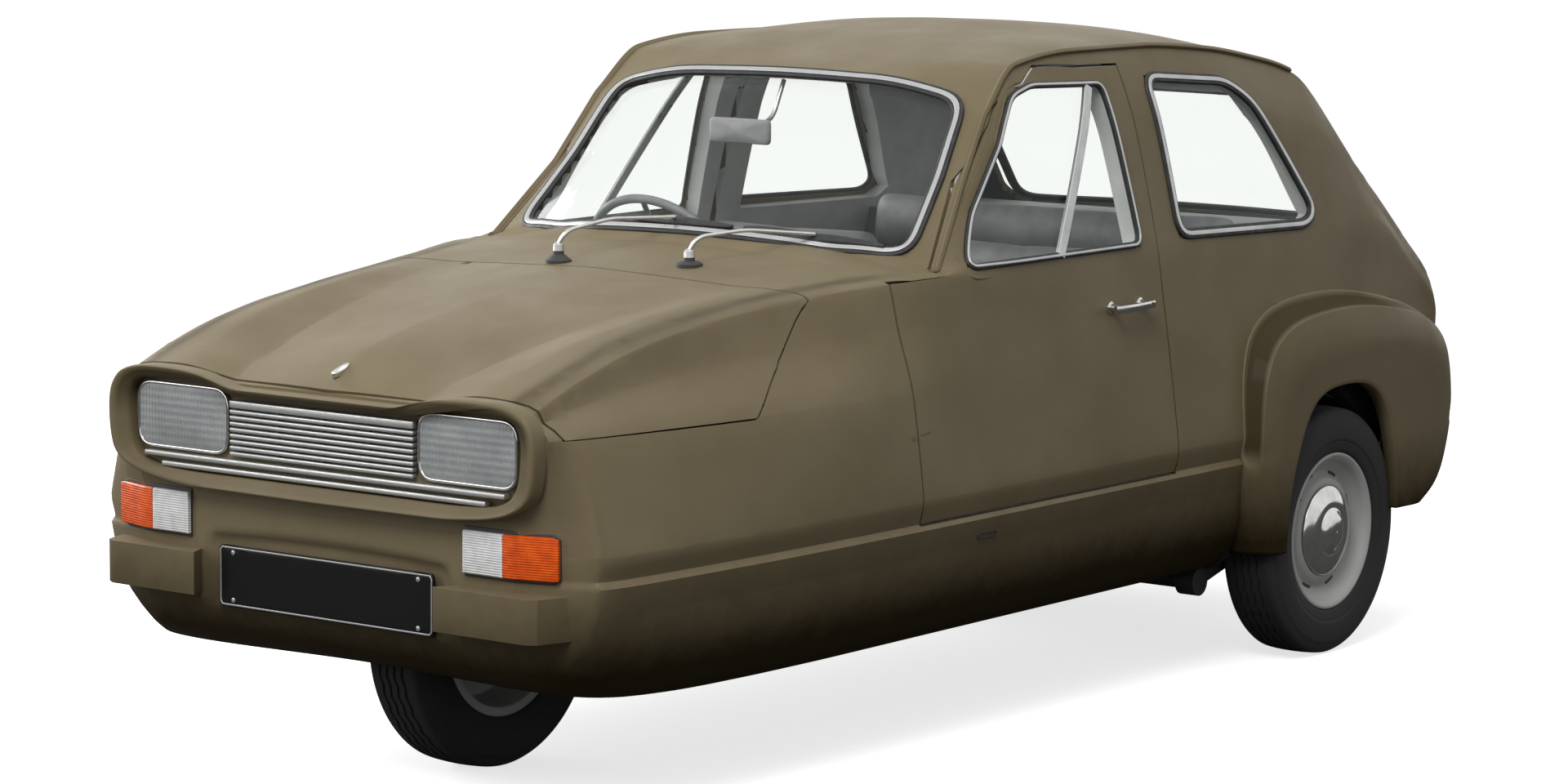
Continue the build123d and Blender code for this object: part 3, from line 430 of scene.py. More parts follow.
CARPET = Finish("floor_carpet", "inner_grey", (62, 61, 60), (40, 40, 40), 70.0, (0.85, 0.95),
                (1500.0, 0.9, 0.0015), sheen=0.3)
BLACK = Finish("black_plastic", "black_plastic", (30, 30, 31), (20, 20, 21), 30.0, (0.38, 0.55),
               (900.0, 0.25, 0.0004))
CHASSIS = Finish("chassis_black", "chassis_black", (38, 35, 31), (24, 22, 20), 16.0, (0.5, 0.8),
                 (500.0, 0.4, 0.0008))
ENGINE = Finish("cast_alloy", "engine_metal", (118, 114, 106), (76, 71, 63), 22.0, (0.45, 0.7),
                (700.0, 0.5, 0.0008), metal=0.6)
DIAL = Finish("dial_face", "black_plastic", (24, 25, 27), (18, 18, 20), 30.0, (0.3, 0.4),
              (900.0, 0.05, 0.0001))


# ---------------------------------------------------------------- surfaces
class Smooth(Enum):
    """How a piece's faces meet in its shading."""

    ROUND = math.radians(180)
    CREASED = math.radians(38)
    FLAT = math.radians(12)


class Piece:
    """A mesh made from whole arrays, and what is done to it until it rides on its body."""

    def __init__(self, name: str, points: Array, faces: Array | Sequence[Sequence[int]]) -> None:
        """Makes the object.

        Args:
            name: the object's name.
            points: corners, one row each.
            faces: rows of corner numbers.
        """
        mesh = bpy.data.meshes.new(name)
        rows = faces.tolist() if isinstance(faces, np.ndarray) else faces
        mesh.from_pydata(np.asarray(points, float).reshape(-1, 3).tolist(), [], rows)
        self.object = bpy.data.objects.new(name, mesh)
        bpy.context.scene.collection.objects.link(self.object)

    def tidy(self, smooth: Smooth = Smooth.CREASED, join: float = 1e-6) -> "Piece":
        """Merges doubled corners, turns the faces outwards and sets the shading.

        Args:
            smooth: how the faces meet.
            join: how close two corners are to be one, in metres.

        Returns:
            The piece.
        """
        mesh = self.object.data
        work = bmesh.new()
        work.from_mesh(mesh)
        bmesh.ops.remove_doubles(work, verts=work.verts, dist=join)
        bmesh.ops.dissolve_degenerate(work, edges=work.edges, dist=join)
        bmesh.ops.recalc_face_normals(work, faces=work.faces)
        work.to_mesh(mesh)
        work.free()
        mesh.shade_smooth()
        mesh.set_sharp_from_angle(angle=smooth.value)
        return self

    def bevel(self, width: float, segments: int = 2) -> "Piece":
        """Rounds the sharp edges by a width in metres."""
        modifier = self.object.modifiers.new("edges", "BEVEL")
        modifier.width = width
        modifier.segments = segments
        modifier.limit_method = "ANGLE"
        modifier.angle_limit = math.radians(40)
        modifier.harden_normals = False
        return self

    def dress(self, finish: Finish) -> "Piece":
        """Gives the piece one finish."""
        self.object.data.materials.clear()
        self.object.data.materials.append(finish.build())
        return self

    def places(self) -> Array:
        """Where its vertices are."""
        places = np.empty(len(self.object.data.vertices) * 3, np.float32)
        self.object.data.vertices.foreach_get("co", places)
        return places.reshape(-1, 3).astype(float)

    def paint_shade(self, amount: Array) -> "Piece":
        """Sets the painted shade at each vertex, from 0 to 1, in the cove attribute that the body paint
        reads.
        """
        band = self.object.data.attributes.new("cove", "FLOAT", "POINT")
        band.data.foreach_set("value", np.asarray(amount, np.float32))
        return self

    def ride(self, body: str, *replaced: str) -> "Piece":
        """Fixes the piece to a body, in place of any nodes named."""
        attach(self.object, body)
        if replaced:
            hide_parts(*replaced)
        LOG.info("%s rides on %s, %d faces", self.object.name, body, len(self.object.data.polygons))
        return self


def grid_faces(rows: int, columns: int, close_rows: bool = False, close_columns: bool = False) -> Array:
    """Corner numbers of a grid's four-sided faces.

    Args:
        rows, columns: the grid's size.
        close_rows: whether the last row meets the first.
        close_columns: whether the last column meets the first.

    Returns:
        One row of four numbers for each face.
    """
    i = np.arange(rows if close_rows else rows - 1)[:, None]
    j = np.arange(columns if close_columns else columns - 1)[None, :]
    below, beside = (i + 1) % rows, (j + 1) % columns
    corners = [i * columns + j, below * columns + j, below * columns + beside, i * columns + beside]
    return np.stack([np.broadcast_to(c, (i.size, j.size)) for c in corners], -1).reshape(-1, 4)


def together(parts: Sequence[tuple[Array, Array]]) -> tuple[Array, list[list[int]]]:
    """Joins several (points, faces) into one list of each.

    Args:
        parts: the points and faces of each part.

    Returns:
        All points, and all faces with their numbers moved on.
    """
    points, faces, start = [], [], 0
    for part_points, part_faces in parts:
        flat = np.asarray(part_points, float).reshape(-1, 3)
        rows = part_faces.tolist() if isinstance(part_faces, np.ndarray) else part_faces
        faces += [[start + corner for corner in row] for row in rows]
        points.append(flat)
        start += len(flat)
    return np.concatenate(points), faces


def ramp(value: Array, start: float | Array, reach: float) -> Array:
    """From 0 at the start to 1 a reach beyond it, straight in between; a negative reach looks back."""
    return np.clip((value - start) / reach, 0, 1)


def hermite(a: Array, start: Array, b: Array, end: Array, t: Array) -> Array:
    """A cubic curve from a to b, which leaves along start and arrives along end, at shares t."""
    return ((1 + 2 * t) * (1 - t) ** 2 * a + t * (1 - t) ** 2 * start
            + t**2 * (3 - 2 * t) * b + t**2 * (t - 1) * end)


def arrays_of(work: bmesh.types.BMesh) -> tuple[Array, list[list[int]]]:
    """The points and faces of a mesh that was being worked on; it is then freed."""
    work.verts.index_update()
    points = np.array([vertex.co[:] for vertex in work.verts])
    faces = [[vertex.index for vertex in face.verts] for face in work.faces]
    work.free()
    return points, faces


def merged(node: str, angle: float) -> bmesh.types.BMesh:
    """A CAD node's mesh to work on, its corners merged and its faces joined where flat to an angle."""
    work = bmesh.new()
    work.from_mesh(frame["nodes"][node].data)
    bmesh.ops.remove_doubles(work, verts=work.verts, dist=2e-5)
    bmesh.ops.dissolve_limit(work, angle_limit=math.radians(angle), verts=work.verts, edges=work.edges)
    return work


def rectangle(left: float, low: float, right: float, high: float) -> Array:
    """A rectangle's corners, counter-clockwise from its lower left."""
    return np.array([(left, low), (right, low), (right, high), (left, high)])


def unit(vectors: Array) -> Array:
    """Vectors brought to a length of one."""
    return vectors / np.maximum(np.linalg.norm(vectors, axis=-1, keepdims=True), 1e-12)


def resample(path: Array, count: int, closed: bool = False) -> Array:
    """Evenly spaced points on a path: each lies at an equal share of the path's length.

    Args:
        path: the path's corners.
        count: how many points to return.
        closed: whether the path meets its start.

    Returns:
        The points, one row each.
    """
    path = np.asarray(path, float)
    if closed:
        path = np.vstack([path, path[:1]])
    length = np.concatenate([[0.0], np.cumsum(np.linalg.norm(np.diff(path, axis=0), axis=1))])
    along = np.linspace(0, length[-1], count, endpoint=not closed)
    return np.stack([np.interp(along, length, path[:, k]) for k in range(path.shape[1])], -1)


def rounded(corners: Array, radius: float | Array, steps: int = 6, closed: bool = True) -> Array:
    """A path with its corners turned into curves.

    Each corner is replaced by the curve (1-t)^2 A + 2t(1-t) C + t^2 B, where C is the corner and
    A and B lie on its two sides, as far from it as the radius asks and the sides allow.

    Args:
        corners: the path's corners.
        radius: how far the curve starts from each corner.
        steps: how many points each curve has.
        closed: whether the path meets its start.

    Returns:
        The new path.
    """
    corners = np.asarray(corners, float)
    before, after = np.roll(corners, 1, 0), np.roll(corners, -1, 0)
    radius = np.broadcast_to(np.asarray(radius, float), (len(corners),))
    reach_a = np.minimum(radius, 0.48 * np.linalg.norm(before - corners, axis=1))[:, None]
    reach_b = np.minimum(radius, 0.48 * np.linalg.norm(after - corners, axis=1))[:, None]
    start, end = corners + unit(before - corners) * reach_a, corners + unit(after - corners) * reach_b
    t = np.linspace(0, 1, steps)[None, :, None]
    curve = (1 - t) ** 2 * start[:, None] + 2 * t * (1 - t) * corners[:, None] + t**2 * end[:, None]
    if not closed:
        curve[0], curve[-1] = corners[0], corners[-1]
    return curve.reshape(-1, corners.shape[1])


def sweep(path: Array, out: Array | Sequence[float], profile: Array,
          closed: bool = False) -> tuple[Array, Array]:
    """A profile carried along a path.

    Each point is path + a * side + b * out, where (a, b) is the profile's point, out stands off
    the surface that the path lies on, and side is square to out and to the path's direction.

    Args:
        path: the path's points.
        out: the direction off the surface at each point, or one for all.
        profile: the closed profile's points, across and out.
        closed: whether the path meets its start.

    Returns:
        The points and the faces.
    """
    path = np.asarray(path, float)
    out = np.broadcast_to(np.asarray(out, float), path.shape)
    if closed:
        along = np.roll(path, -1, 0) - np.roll(path, 1, 0)
    else:
        along = np.gradient(path, axis=0)
    along = unit(along)
    side = unit(np.cross(along, out))
    out = unit(np.cross(side, along))
    profile = np.asarray(profile, float)
    points = path[:, None] + profile[None, :, :1] * side[:, None] + profile[None, :, 1:] * out[:, None]
    faces = grid_faces(len(path), len(profile), closed, True).tolist()
    if not closed:
        last = (len(path) - 1) * len(profile)
        faces.append(list(range(len(profile))))
        faces.append([last + k for k in range(len(profile))][::-1])
    return points, faces


def round_profile(radius: float, count: int = 10) -> Array:
    """A circle's points."""
    turn = np.linspace(0, 2 * math.pi, count, endpoint=False)
    return np.stack([radius * np.cos(turn), radius * np.sin(turn)], -1)


def bar_profile(width: float, depth: float, edge: float) -> Array:
    """A rectangle's points with curved corners, its foot at zero."""
    return rounded(rectangle(-width / 2, 0, width / 2, depth), edge, 4)


def turned(profile: Array | Sequence[tuple[float, float]], centre: Sequence[float], steps: int = 64,
           axis: str = "Y") -> tuple[Array, Array]:
    """A profile turned about an axis: each (a, r) goes to a along the axis and r round it.

    Args:
        profile: the closed or pole-to-pole profile, along and radius.
        centre: a point on the axis.
        steps: how many places round the axis.
        axis: X, Y or Z.

    Returns:
        The points and the faces.
    """
    profile = np.asarray(profile, float)
    turn = np.linspace(0, 2 * math.pi, steps, endpoint=False)[:, None]
    along = np.broadcast_to(profile[None, :, 0], (steps, len(profile)))
    first, second = profile[None, :, 1] * np.cos(turn), profile[None, :, 1] * np.sin(turn)
    order = {"X": (along, first, second), "Y": (second, along, first),
             "Z": (first, second, along)}
    points = np.stack(order[axis], -1) + np.asarray(centre, float)
    return points, grid_faces(steps, len(profile), True, False)


def pillow_box(low: Sequence[float], high: Sequence[float], radius: float,
               steps: int = 6) -> tuple[Array, Array]:
    """A box with ball-shaped corners: each direction of a sphere, pushed out to its own corner.

    Args:
        low, high: the box's lowest and highest corners.
        radius: the corners' radius.
        steps: how fine each corner is.

    Returns:
        The points and the faces.
    """
    low, high = np.asarray(low, float), np.asarray(high, float)
    radius = min(radius, 0.499 * float((high - low).min()))
    quarter = (np.arange(steps) + 0.02) / (steps - 1 + 0.04) * math.pi / 2
    turn = np.concatenate([quarter + k * math.pi / 2 for k in range(4)])
    lift = np.concatenate([quarter - math.pi / 2, quarter])
    lift[0], lift[-1] = -math.pi / 2, math.pi / 2
    u, v = turn[None, :], lift[:, None]
    ball = np.stack([np.cos(u) * np.cos(v), np.sin(u) * np.cos(v), np.sin(v) + 0 * u], -1)
    sign = np.stack([np.sign(np.cos(u)) + 0 * v, np.sign(np.sin(u)) + 0 * v, np.sign(v) + 0 * u], -1)
    points = (low + high) / 2 + sign * ((high - low) / 2 - radius) + ball * radius
    faces = grid_faces(lift.size, turn.size, False, True).tolist()
    faces.append(list(range(turn.size)))
    faces.append([(lift.size - 1) * turn.size + k for k in range(turn.size)][::-1])
    return points, faces


def slab(outline: Array, foot: Callable[[Array], Array], depth: Array | Sequence[float], edge: float,
         crown: float = 0.0, rings: int = 6) -> tuple[Array, Array]:
    """A raised panel: its outline, drawn in at the edge in a quarter round, then crowned to its middle.

    Ring k of the panel is the outline shrunk towards its centre, raised by the edge's quarter
    round and then by the crown times one less the square of its share of the way out.

    Args:
        outline: flat (a, b) points, counter-clockwise.
        foot: takes flat points to points in space on the panel's foot.
        depth: the panel's depth as a vector in space.
        edge: the edge's radius, in metres.
        crown: how far the middle stands above the edge.
        rings: how many rings the face has.

    Returns:
        The points and the faces.
    """
    outline = np.asarray(outline, float)
    centre = outline.mean(0)
    depth = np.asarray(depth, float)
    thick = float(np.linalg.norm(depth))
    lift = depth / thick
    span = np.linalg.norm(outline - centre, axis=1, keepdims=True)
    edge = min(edge, thick)
    layers = [foot(outline)]
    for turn in np.linspace(0, math.pi / 2, 5):
        inset = outline - (outline - centre) / span * edge * (1 - math.cos(turn))
        layers.append(foot(inset) + lift * (thick - edge + edge * math.sin(turn)))
    for share in np.linspace(1, 0, rings)[1:]:
        inner = centre + (outline - (outline - centre) / span * edge - centre) * max(share, 0.01)
        layers.append(foot(inner) + lift * (thick + crown * (1 - share**2)))
    points = np.stack(layers)
    faces = grid_faces(len(layers), len(outline), False, True).tolist()
    faces.append(list(range(len(outline)))[::-1])
    faces.append([(len(layers) - 1) * len(outline) + k for k in range(len(outline))])
    return points, faces


def facing_x(x: float) -> Callable[[Array], Array]:
    """Takes flat (across, up) points to the upright plane at one place along the car."""
    return lambda flat: np.stack([np.full(len(flat), x), flat[:, 0], flat[:, 1]], -1)


def mirrored(points: Array) -> Array:
    """The points on the other side of the car."""
    return np.asarray(points, float) * np.array([1.0, -1.0, 1.0])


# ---------------------------------------------------------------- the body's form
FLOOR, MID, BELT, GUTTER, ROOF = 220.0, 705.0, 915.0, 1314.0, 1352.0


class Station(NamedTuple):
    """One half section of the body, in millimetres.

    x is its place in metres. The insets count in from the body's widest line: bottom, side,
    mid, belt, upper and edge. crown_y and inner_y count out from the middle. The heights are
    bottom, mid, belt, upper, edge, crown, inner and centre.
    """

    x: float
    insets: tuple[float, ...]
    crown_y: float
    inner_y: float
    heights: tuple[float, ...]


STATIONS = [
    Station(front(433), (250, 210, 130, 164, 180, 216), 350, 225,
            (FLOOR + 125, MID, 750, 758, 764, 766, 752, 776)),
    Station(front(408), (210, 120, 119, 163, 180, 214), 355, 235,
            (FLOOR + 80, MID, 760, 768, 774, 776, 762, 790)),
    Station(front(378), (180, 52, 109, 162, 180, 212), 360, 240,
            (FLOOR + 45, MID, 772, 780, 785, 788, 775, 800)),
    Station(front(323), (150, 38, 98, 161, 179, 210), 370, 245,
            (FLOOR + 20, MID, 792, 799, 803, 805, 787, 817)),
    Station(front(179), (120, 25, 77, 161, 179, 209), 385, 270,
            (FLOOR + 5, MID, 832, 840, 845, 849, 826, 850)),
    Station(front(-2), (105, 14, 56, 158, 176, 206), 400, 300,
            (FLOOR, MID, 862, 869, 874, 879, 863, 880)),
    Station(front(-165), (95, 7, 42, 150, 168, 200), 410, 330,
            (FLOOR, MID, 880, 888, 893, 896, 889, 903)),
    Station(front(-367), (90, 2, 31, 120, 140, 180), 420, 350,
            (FLOOR, MID, BELT - 18, BELT - 11, BELT - 8, BELT - 6, BELT - 4, BELT + 7)),
    Station(rear(1440), (90, 0, 28, 75, 98, 140), 400, 250,
            (FLOOR, MID, BELT - 5, BELT - 1, BELT + 3, BELT + 13, BELT + 23, BELT + 31)),
    Station(rear(1375), (90, 0, 28, 66, 84, 107), 300, 150,
            (FLOOR, MID, BELT - 3, BELT, BELT + 1, BELT + 43, BELT + 78, BELT + 89)),
    Station(rear(1330), (90, 0, 28, 62, 76, 97), 300, 150,
            (FLOOR, MID, BELT - 1, BELT + 1, BELT + 3, BELT + 87, BELT + 119, BELT + 130)),
    Station(rear(1190), (90, 0, 28, 61, 98, 143), 300, 150,
            (FLOOR, MID, BELT, BELT + 66, BELT + 148, BELT + 224, BELT + 248, BELT + 255)),
    Station(rear(1080), (90, 0, 28, 61, 109, 164), 300, 150,
            (FLOOR, MID, BELT, GUTTER - 208, GUTTER - 113, GUTTER - 62, GUTTER - 51, GUTTER - 47)),
    Station(rear(960), (90, 0, 28, 61, 123, 178), 300, 150,
            (FLOOR, MID, BELT, GUTTER - 146, GUTTER - 22, GUTTER - 12, GUTTER - 11, GUTTER - 11)),
    Station(rear(750), (90, 0, 28, 61, 125, 184), 300, 150,
            (FLOOR, MID, BELT, GUTTER - 141, GUTTER - 2, ROOF - 22, ROOF - 16, ROOF - 15)),
    Station(rear(490), (90, 0, 28, 61, 125, 187), 300, 150,
            (FLOOR, MID, BELT, GUTTER - 141, GUTTER - 1, ROOF - 11, ROOF - 2, ROOF)),
    Station(rear(250), (90, 0, 28, 61, 123, 180), 300, 150,
            (FLOOR, MID, BELT, GUTTER - 143, GUTTER - 15, ROOF - 25, ROOF - 14, ROOF - 11)),
    Station(rear(80), (90, 0, 28, 62, 120, 178), 300, 150,
            (FLOOR, MID, BELT, GUTTER - 150, GUTTER - 38, ROOF - 48, ROOF - 39, ROOF - 36)),
    Station(rear(-110), (90, 0, 30, 64, 115, 170), 300, 150,
            (FLOOR + 10, MID, BELT, GUTTER - 190, GUTTER - 82, GUTTER - 74, GUTTER - 70, GUTTER - 69)),
    Station(rear(-298), (95, 6, 40, 68, 94, 120), 300, 150,
            (FLOOR + 40, MID, BELT - 5, BELT + 60, BELT + 113, BELT + 122, BELT + 127, BELT + 129)),
    Station(rear(-468), (105, 14, 46, 60, 72, 88), 300, 150,
            (FLOOR + 70, MID - 40, BELT - 125, BELT - 92, BELT - 58, BELT - 48, BELT - 43, BELT - 42)),
    Station(rear(-545), (120, 26, 52, 54, 62, 72), 300, 150,
            (FLOOR + 95, MID - 70, BELT - 190, BELT - 165, BELT - 143, BELT - 133, BELT - 128,
             BELT - 127)),
    Station(rear(-572), (135, 48, 62, 62, 70, 80), 300, 150,
            (FLOOR + 125, MID - 90, BELT - 222, BELT - 198, BELT - 180, BELT - 171, BELT - 167,
             BELT - 166)),
]


@dataclass
class BodyForm:
    """The body's outer skin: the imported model's straight sections, and a flowing skin over them.

    Point k of a section runs from the middle of the floor (0) round the side to the middle of
    the top (14). The flowing skin carries every point k along the car on a curve that never
    overshoots its stations, and joins the points round the section by curves that share one
    direction at each point, except at the crisp ones. A kink keeps the skin straight on both sides
    of a station, as at the windscreen's foot: its place, and the first and last point that it holds.
    """

    half_width: float = 650.0
    crease: float = 447.0
    widest: float = 500.0
    ledge: tuple[int, ...] = (4, 5)
    kinks: tuple[tuple[float, int, int], ...] = (
        (1440, 12, 15), (1375, 10, 15), (1330, 10, 12), (1190, 10, 12), (1080, 10, 12))
    gutter: int = 11
    depth: float = 0.07
    dips: tuple[float, float] = (0.007, 0.029)
    x: Array = field(init=False)
    points: Array = field(init=False)
    slopes: Array = field(init=False)
    kinked: Array = field(init=False)

    def __post_init__(self) -> None:
        """Works out the sections and their slopes along the car."""
        rows = sorted(STATIONS, key=lambda station: station.x)
        self.x = np.array([station.x for station in rows])
        self.points = np.array([self.half(station) for station in rows]) * MM
        self.slopes = self.gentle_slopes()
        self.kinked = np.zeros(self.points.shape[:2] + (1,), bool)
        for place, first, end in self.kinks:
            self.kinked[np.abs(self.x - rear(place)).argmin(), first:end] = True

    def half(self, s: Station) -> list[tuple[float, float]]:
        """One half section as 15 (y, z) points in millimetres."""
        bottom, side, mid, belt, upper, edge = (self.half_width - inset for inset in s.insets)
        bottom_z, mid_z, belt_z, upper_z, edge_z, crown_z, inner_z, centre_z = s.heights
        ahead = min(max((s.x - rear(1375)) / (front(323) - rear(1375)), 0.0), 1.0)
        waist = 0.55 + 0.27 * ahead
        return [
            (0, bottom_z), (bottom, bottom_z),
            ((bottom + 2 * side) / 3, bottom_z + 0.36 * (self.crease - bottom_z)),
            (side - 12, self.crease - 50), (side, self.crease), (side - 9, self.crease + 12),
            (side, self.widest), (mid, mid_z),
            (mid + waist * (belt - mid), mid_z + 0.55 * (belt_z - mid_z)),
            (belt, belt_z), (upper, upper_z), (edge, edge_z),
            (s.crown_y, crown_z), (s.inner_y, inner_z), (0, centre_z),
        ]

    def gentle_slopes(self) -> Array:
        """Slopes along the car: the harmonic mean of both sides' slopes, 0 where signs differ."""
        step = np.diff(self.x)[:, None, None]
        chord = np.diff(self.points, axis=0) / step
        first, second = chord[:-1], chord[1:]
        w1 = 2 * step[1:] + step[:-1]
        w2 = step[1:] + 2 * step[:-1]
        same = first * second > 0
        safe_first, safe_second = np.where(same, first, 1.0), np.where(same, second, 1.0)
        middle = np.where(same, (w1 + w2) / (w1 / safe_first + w2 / safe_second), 0.0)
        return np.concatenate([chord[:1], middle, chord[-1:]])

    def sections(self, x: Array) -> tuple[Array, Array]:
        """Straight-sided and flowing sections at some places along the car.

        Args:
            x: the places.

        Returns:
            Two arrays of 15 (y, z) points for each place.
        """
        x = np.clip(x, self.x[0], self.x[-1])
        i = np.clip(np.searchsorted(self.x, x) - 1, 0, len(self.x) - 2)
        step = (self.x[i + 1] - self.x[i])[:, None, None]
        t = (x - self.x[i])[:, None, None] / step
        a, b = self.points[i], self.points[i + 1]
        straight = a + t * (b - a)
        start = np.where(self.kinked[i], b - a, step * self.slopes[i])
        end = np.where(self.kinked[i + 1], b - a, step * self.slopes[i + 1])
        flowing = hermite(a, start, b, end, t)
        near = ramp(x, front(280), NOSE_X - front(280)) ** 2
        flowing[:, 13:, 1] -= near[:, None] * self.dips
        return straight, flowing

    def crispness(self, x: Array) -> Array:
        """How crisp each point of a section is: the sill's ledge always, the gutter along the cabin."""
        crisp = np.zeros((len(x), 15))
        crisp[:, self.ledge] = 1.0
        cabin = ramp(x, rear(-330), 0.15) * ramp(x, rear(1430), -0.05)
        crisp[:, self.gutter] = 0.8 * cabin + 0.55 * ramp(x, rear(1450), 0.15)
        crisp[:, 13] = 0.9 * ramp(x, front(-60), 0.25)
        return crisp

    def round_section(self, section: Array, crisp: Array, t: Array) -> Array:
        """Points on the curves that join a section's points.

        Between two points the curve is Hermite's: its ends point along the mean of the sides that
        meet there, as strongly as the shorter side is long, or along its own side where crisp.

        Args:
            section: 15 (y, z) points for each row.
            crisp: how crisp each of them is.
            t: where on the section, from 0 to 14, one for each row.

        Returns:
            One (y, z) for each row.
        """
        side = np.diff(section, axis=1)
        length = np.maximum(np.linalg.norm(side, axis=-1, keepdims=True), 1e-9)
        along = side / length
        level = np.broadcast_to(np.array([1.0, 0.0]), along[:, :1].shape)
        before = np.concatenate([level, along], 1)
        after = np.concatenate([along, -level], 1)
        mean = unit(before + after)
        first, last = length[:, :1], length[:, -1:]
        short = np.minimum(np.concatenate([first, length], 1), np.concatenate([length, last], 1))
        rows = np.arange(len(t))
        k = np.clip(t.astype(int), 0, 13)
        s = (t - k)[:, None]
        own = side[rows, k]
        c0, c1 = crisp[rows, k][:, None], crisp[rows, k + 1][:, None]
        start = (1 - c0) * mean[rows, k] * short[rows, k] + c0 * own
        end = (1 - c1) * mean[rows, k + 1] * short[rows, k + 1] + c1 * own
        return hermite(section[rows, k], start, section[rows, k + 1], end, s)

    def nearest(self, section: Array, y: Array, z: Array) -> tuple[Array, Array]:
        """Where on its straight-sided section each point lies, and how far from it.

        Args:
            section: 15 (y, z) points for each row.
            y, z: the point of each row.

        Returns:
            The places, from 0 to 14, and the distances.
        """
        start, side = section[:, :-1], np.diff(section, axis=1)
        to_point = np.stack([y, z], -1)[:, None] - start
        share = np.clip((to_point * side).sum(-1) / np.maximum((side**2).sum(-1), 1e-12), 0, 1)
        gap = np.linalg.norm(to_point - share[..., None] * side, axis=-1)
        best = gap.argmin(1)
        rows = np.arange(len(y))
        return best + share[rows, best], gap[rows, best]

    def flow(self, points: Array) -> Array:
        """Moves points with the skin from the straight-sided form to the flowing one.

        Args:
            points: places on or under the skin.

        Returns:
            Their new places.
        """
        points = np.asarray(points, float)
        straight, flowing = self.sections(points[:, 0])
        y, z = np.abs(points[:, 1]), points[:, 2]
        t, gap = self.nearest(straight, y, z)
        crisp = self.crispness(points[:, 0])
        k = np.clip(t.astype(int), 0, 13)
        rows = np.arange(len(t))
        flat = straight[rows, k] + (t - k)[:, None] * (straight[rows, k + 1] - straight[rows, k])
        shift = self.round_section(flowing, crisp, t) - flat
        shift *= np.clip(1.6 - gap / self.depth, 0, 1)[:, None]
        moved = points.copy()
        moved[:, 1] = np.sign(points[:, 1]) * np.maximum(y + shift[:, 0], 0.0)
        moved[:, 2] += shift[:, 1]
        return moved

    def dense(self, x: Array, first: float, last: float, count: int = 120) -> Array:
        """The flowing section between two of its points: count (y, z) points for each place x."""
        _, flowing = self.sections(x)
        t = np.linspace(first, last, count)
        rows = np.repeat(np.arange(len(x)), count)
        crisp = self.crispness(x)
        return self.round_section(flowing[rows], crisp[rows], np.tile(t, len(x))).reshape(len(x), count, 2)

    def on_side(self, x: Array, z: Array, lift: float = 0.0) -> tuple[Array, Array]:
        """Points of the left side at some heights, and the directions off the skin there.

        Args:
            x, z: the places.
            lift: how far off the skin.

        Returns:
            The points and the directions.
        """
        x, z = np.atleast_1d(np.asarray(x, float)), np.atleast_1d(np.asarray(z, float))
        section = self.dense(x, 1.0, 11.4, 160)
        above = np.clip((section[..., 1] < z[:, None]).sum(1), 1, section.shape[1] - 1)
        rows = np.arange(len(x))
        low, high = section[rows, above - 1], section[rows, above]
        share = (z - low[:, 1]) / np.maximum(high[:, 1] - low[:, 1], 1e-9)
        y = low[:, 0] + np.clip(share, 0, 1) * (high[:, 0] - low[:, 0])
        out = unit(np.stack([np.zeros_like(y), high[:, 1] - low[:, 1], low[:, 0] - high[:, 0]], -1))
        return np.stack([x, y, z], -1) + lift * out, out

    def top(self, x: Array, y: Array) -> Array:
        """Heights of the top skin at some places."""
        section = self.dense(x, 9.6, 14.0)
        y = np.abs(y)
        beyond = np.clip((section[..., 0] > y[:, None]).sum(1), 1, section.shape[1] - 1)
        rows = np.arange(len(x))
        low, high = section[rows, beyond - 1], section[rows, beyond]
        share = (y - low[:, 0]) / np.minimum(high[:, 0] - low[:, 0], -1e-9)
        return low[:, 1] + np.clip(share, 0, 1) * (high[:, 1] - low[:, 1])


FORM = BodyForm()


def softened(path: Array, reach: int = 2) -> Array:
    """A closed path with each point moved to the mean of its neighbours, to take out small waves."""
    return sum(np.roll(path, k, 0) for k in range(-reach, reach + 1)) / (2 * reach + 1)


@dataclass
class SlopedWindow:
    """A window in a slope of the body, drawn flat on the slope: across the car and up the slope.

    Attributes:
        foot: place along the car and height of the slope's foot.
        lean: the slope's angle from level; its outside faces ahead, or behind where this is negative.
        corners: the outline's corners in metres.
        corner: their radius.
    """

    foot: tuple[float, float]
    lean: float
    corners: list[tuple[float, float]]
    corner: float

    @property
    def out(self) -> Array:
        """Direction square to the slope, off the car."""
        return np.array([math.sin(self.lean), 0.0, math.cos(self.lean)])

    def on_skin(self, flat: Array) -> Array:
        """Flat points moved square to the slope until they lie on the skin.

        Args:
            flat: (across, up the slope) points.

        Returns:
            Their places on the car.
        """
        up = np.array([-math.cos(self.lean), 0.0, math.sin(self.lean)]) * np.sign(self.lean)
        base = np.array([self.foot[0], 0.0, self.foot[1]]) + flat[:, 1:] * up
        base[:, 1] = flat[:, 0]
        tries = np.linspace(-0.16, 0.16, 81)
        places = base[:, None] + tries[None, :, None] * self.out
        height = FORM.top(places[..., 0].ravel(), places[..., 1].ravel()).reshape(places.shape[:2])
        above = places[..., 2] - height
        k = np.clip((above < 0).sum(1), 1, len(tries) - 1)
        rows = np.arange(len(flat))
        low, high = above[rows, k - 1], above[rows, k]
        share = np.clip(-low / np.maximum(high - low, 1e-9), 0, 1)
        s = tries[k - 1] + share * (tries[k] - tries[k - 1])
        return base + s[:, None] * self.out

    def loop(self, inset: float, count: int = 220) -> Array:
        """The window's edge on the skin, drawn in by an inset."""
        flat = np.asarray(self.corners, float)
        centre = flat.mean(0)
        flat = flat - unit(flat - centre) * inset * 1.3
        return softened(self.on_skin(resample(rounded(flat, self.corner, 8), count, True)))


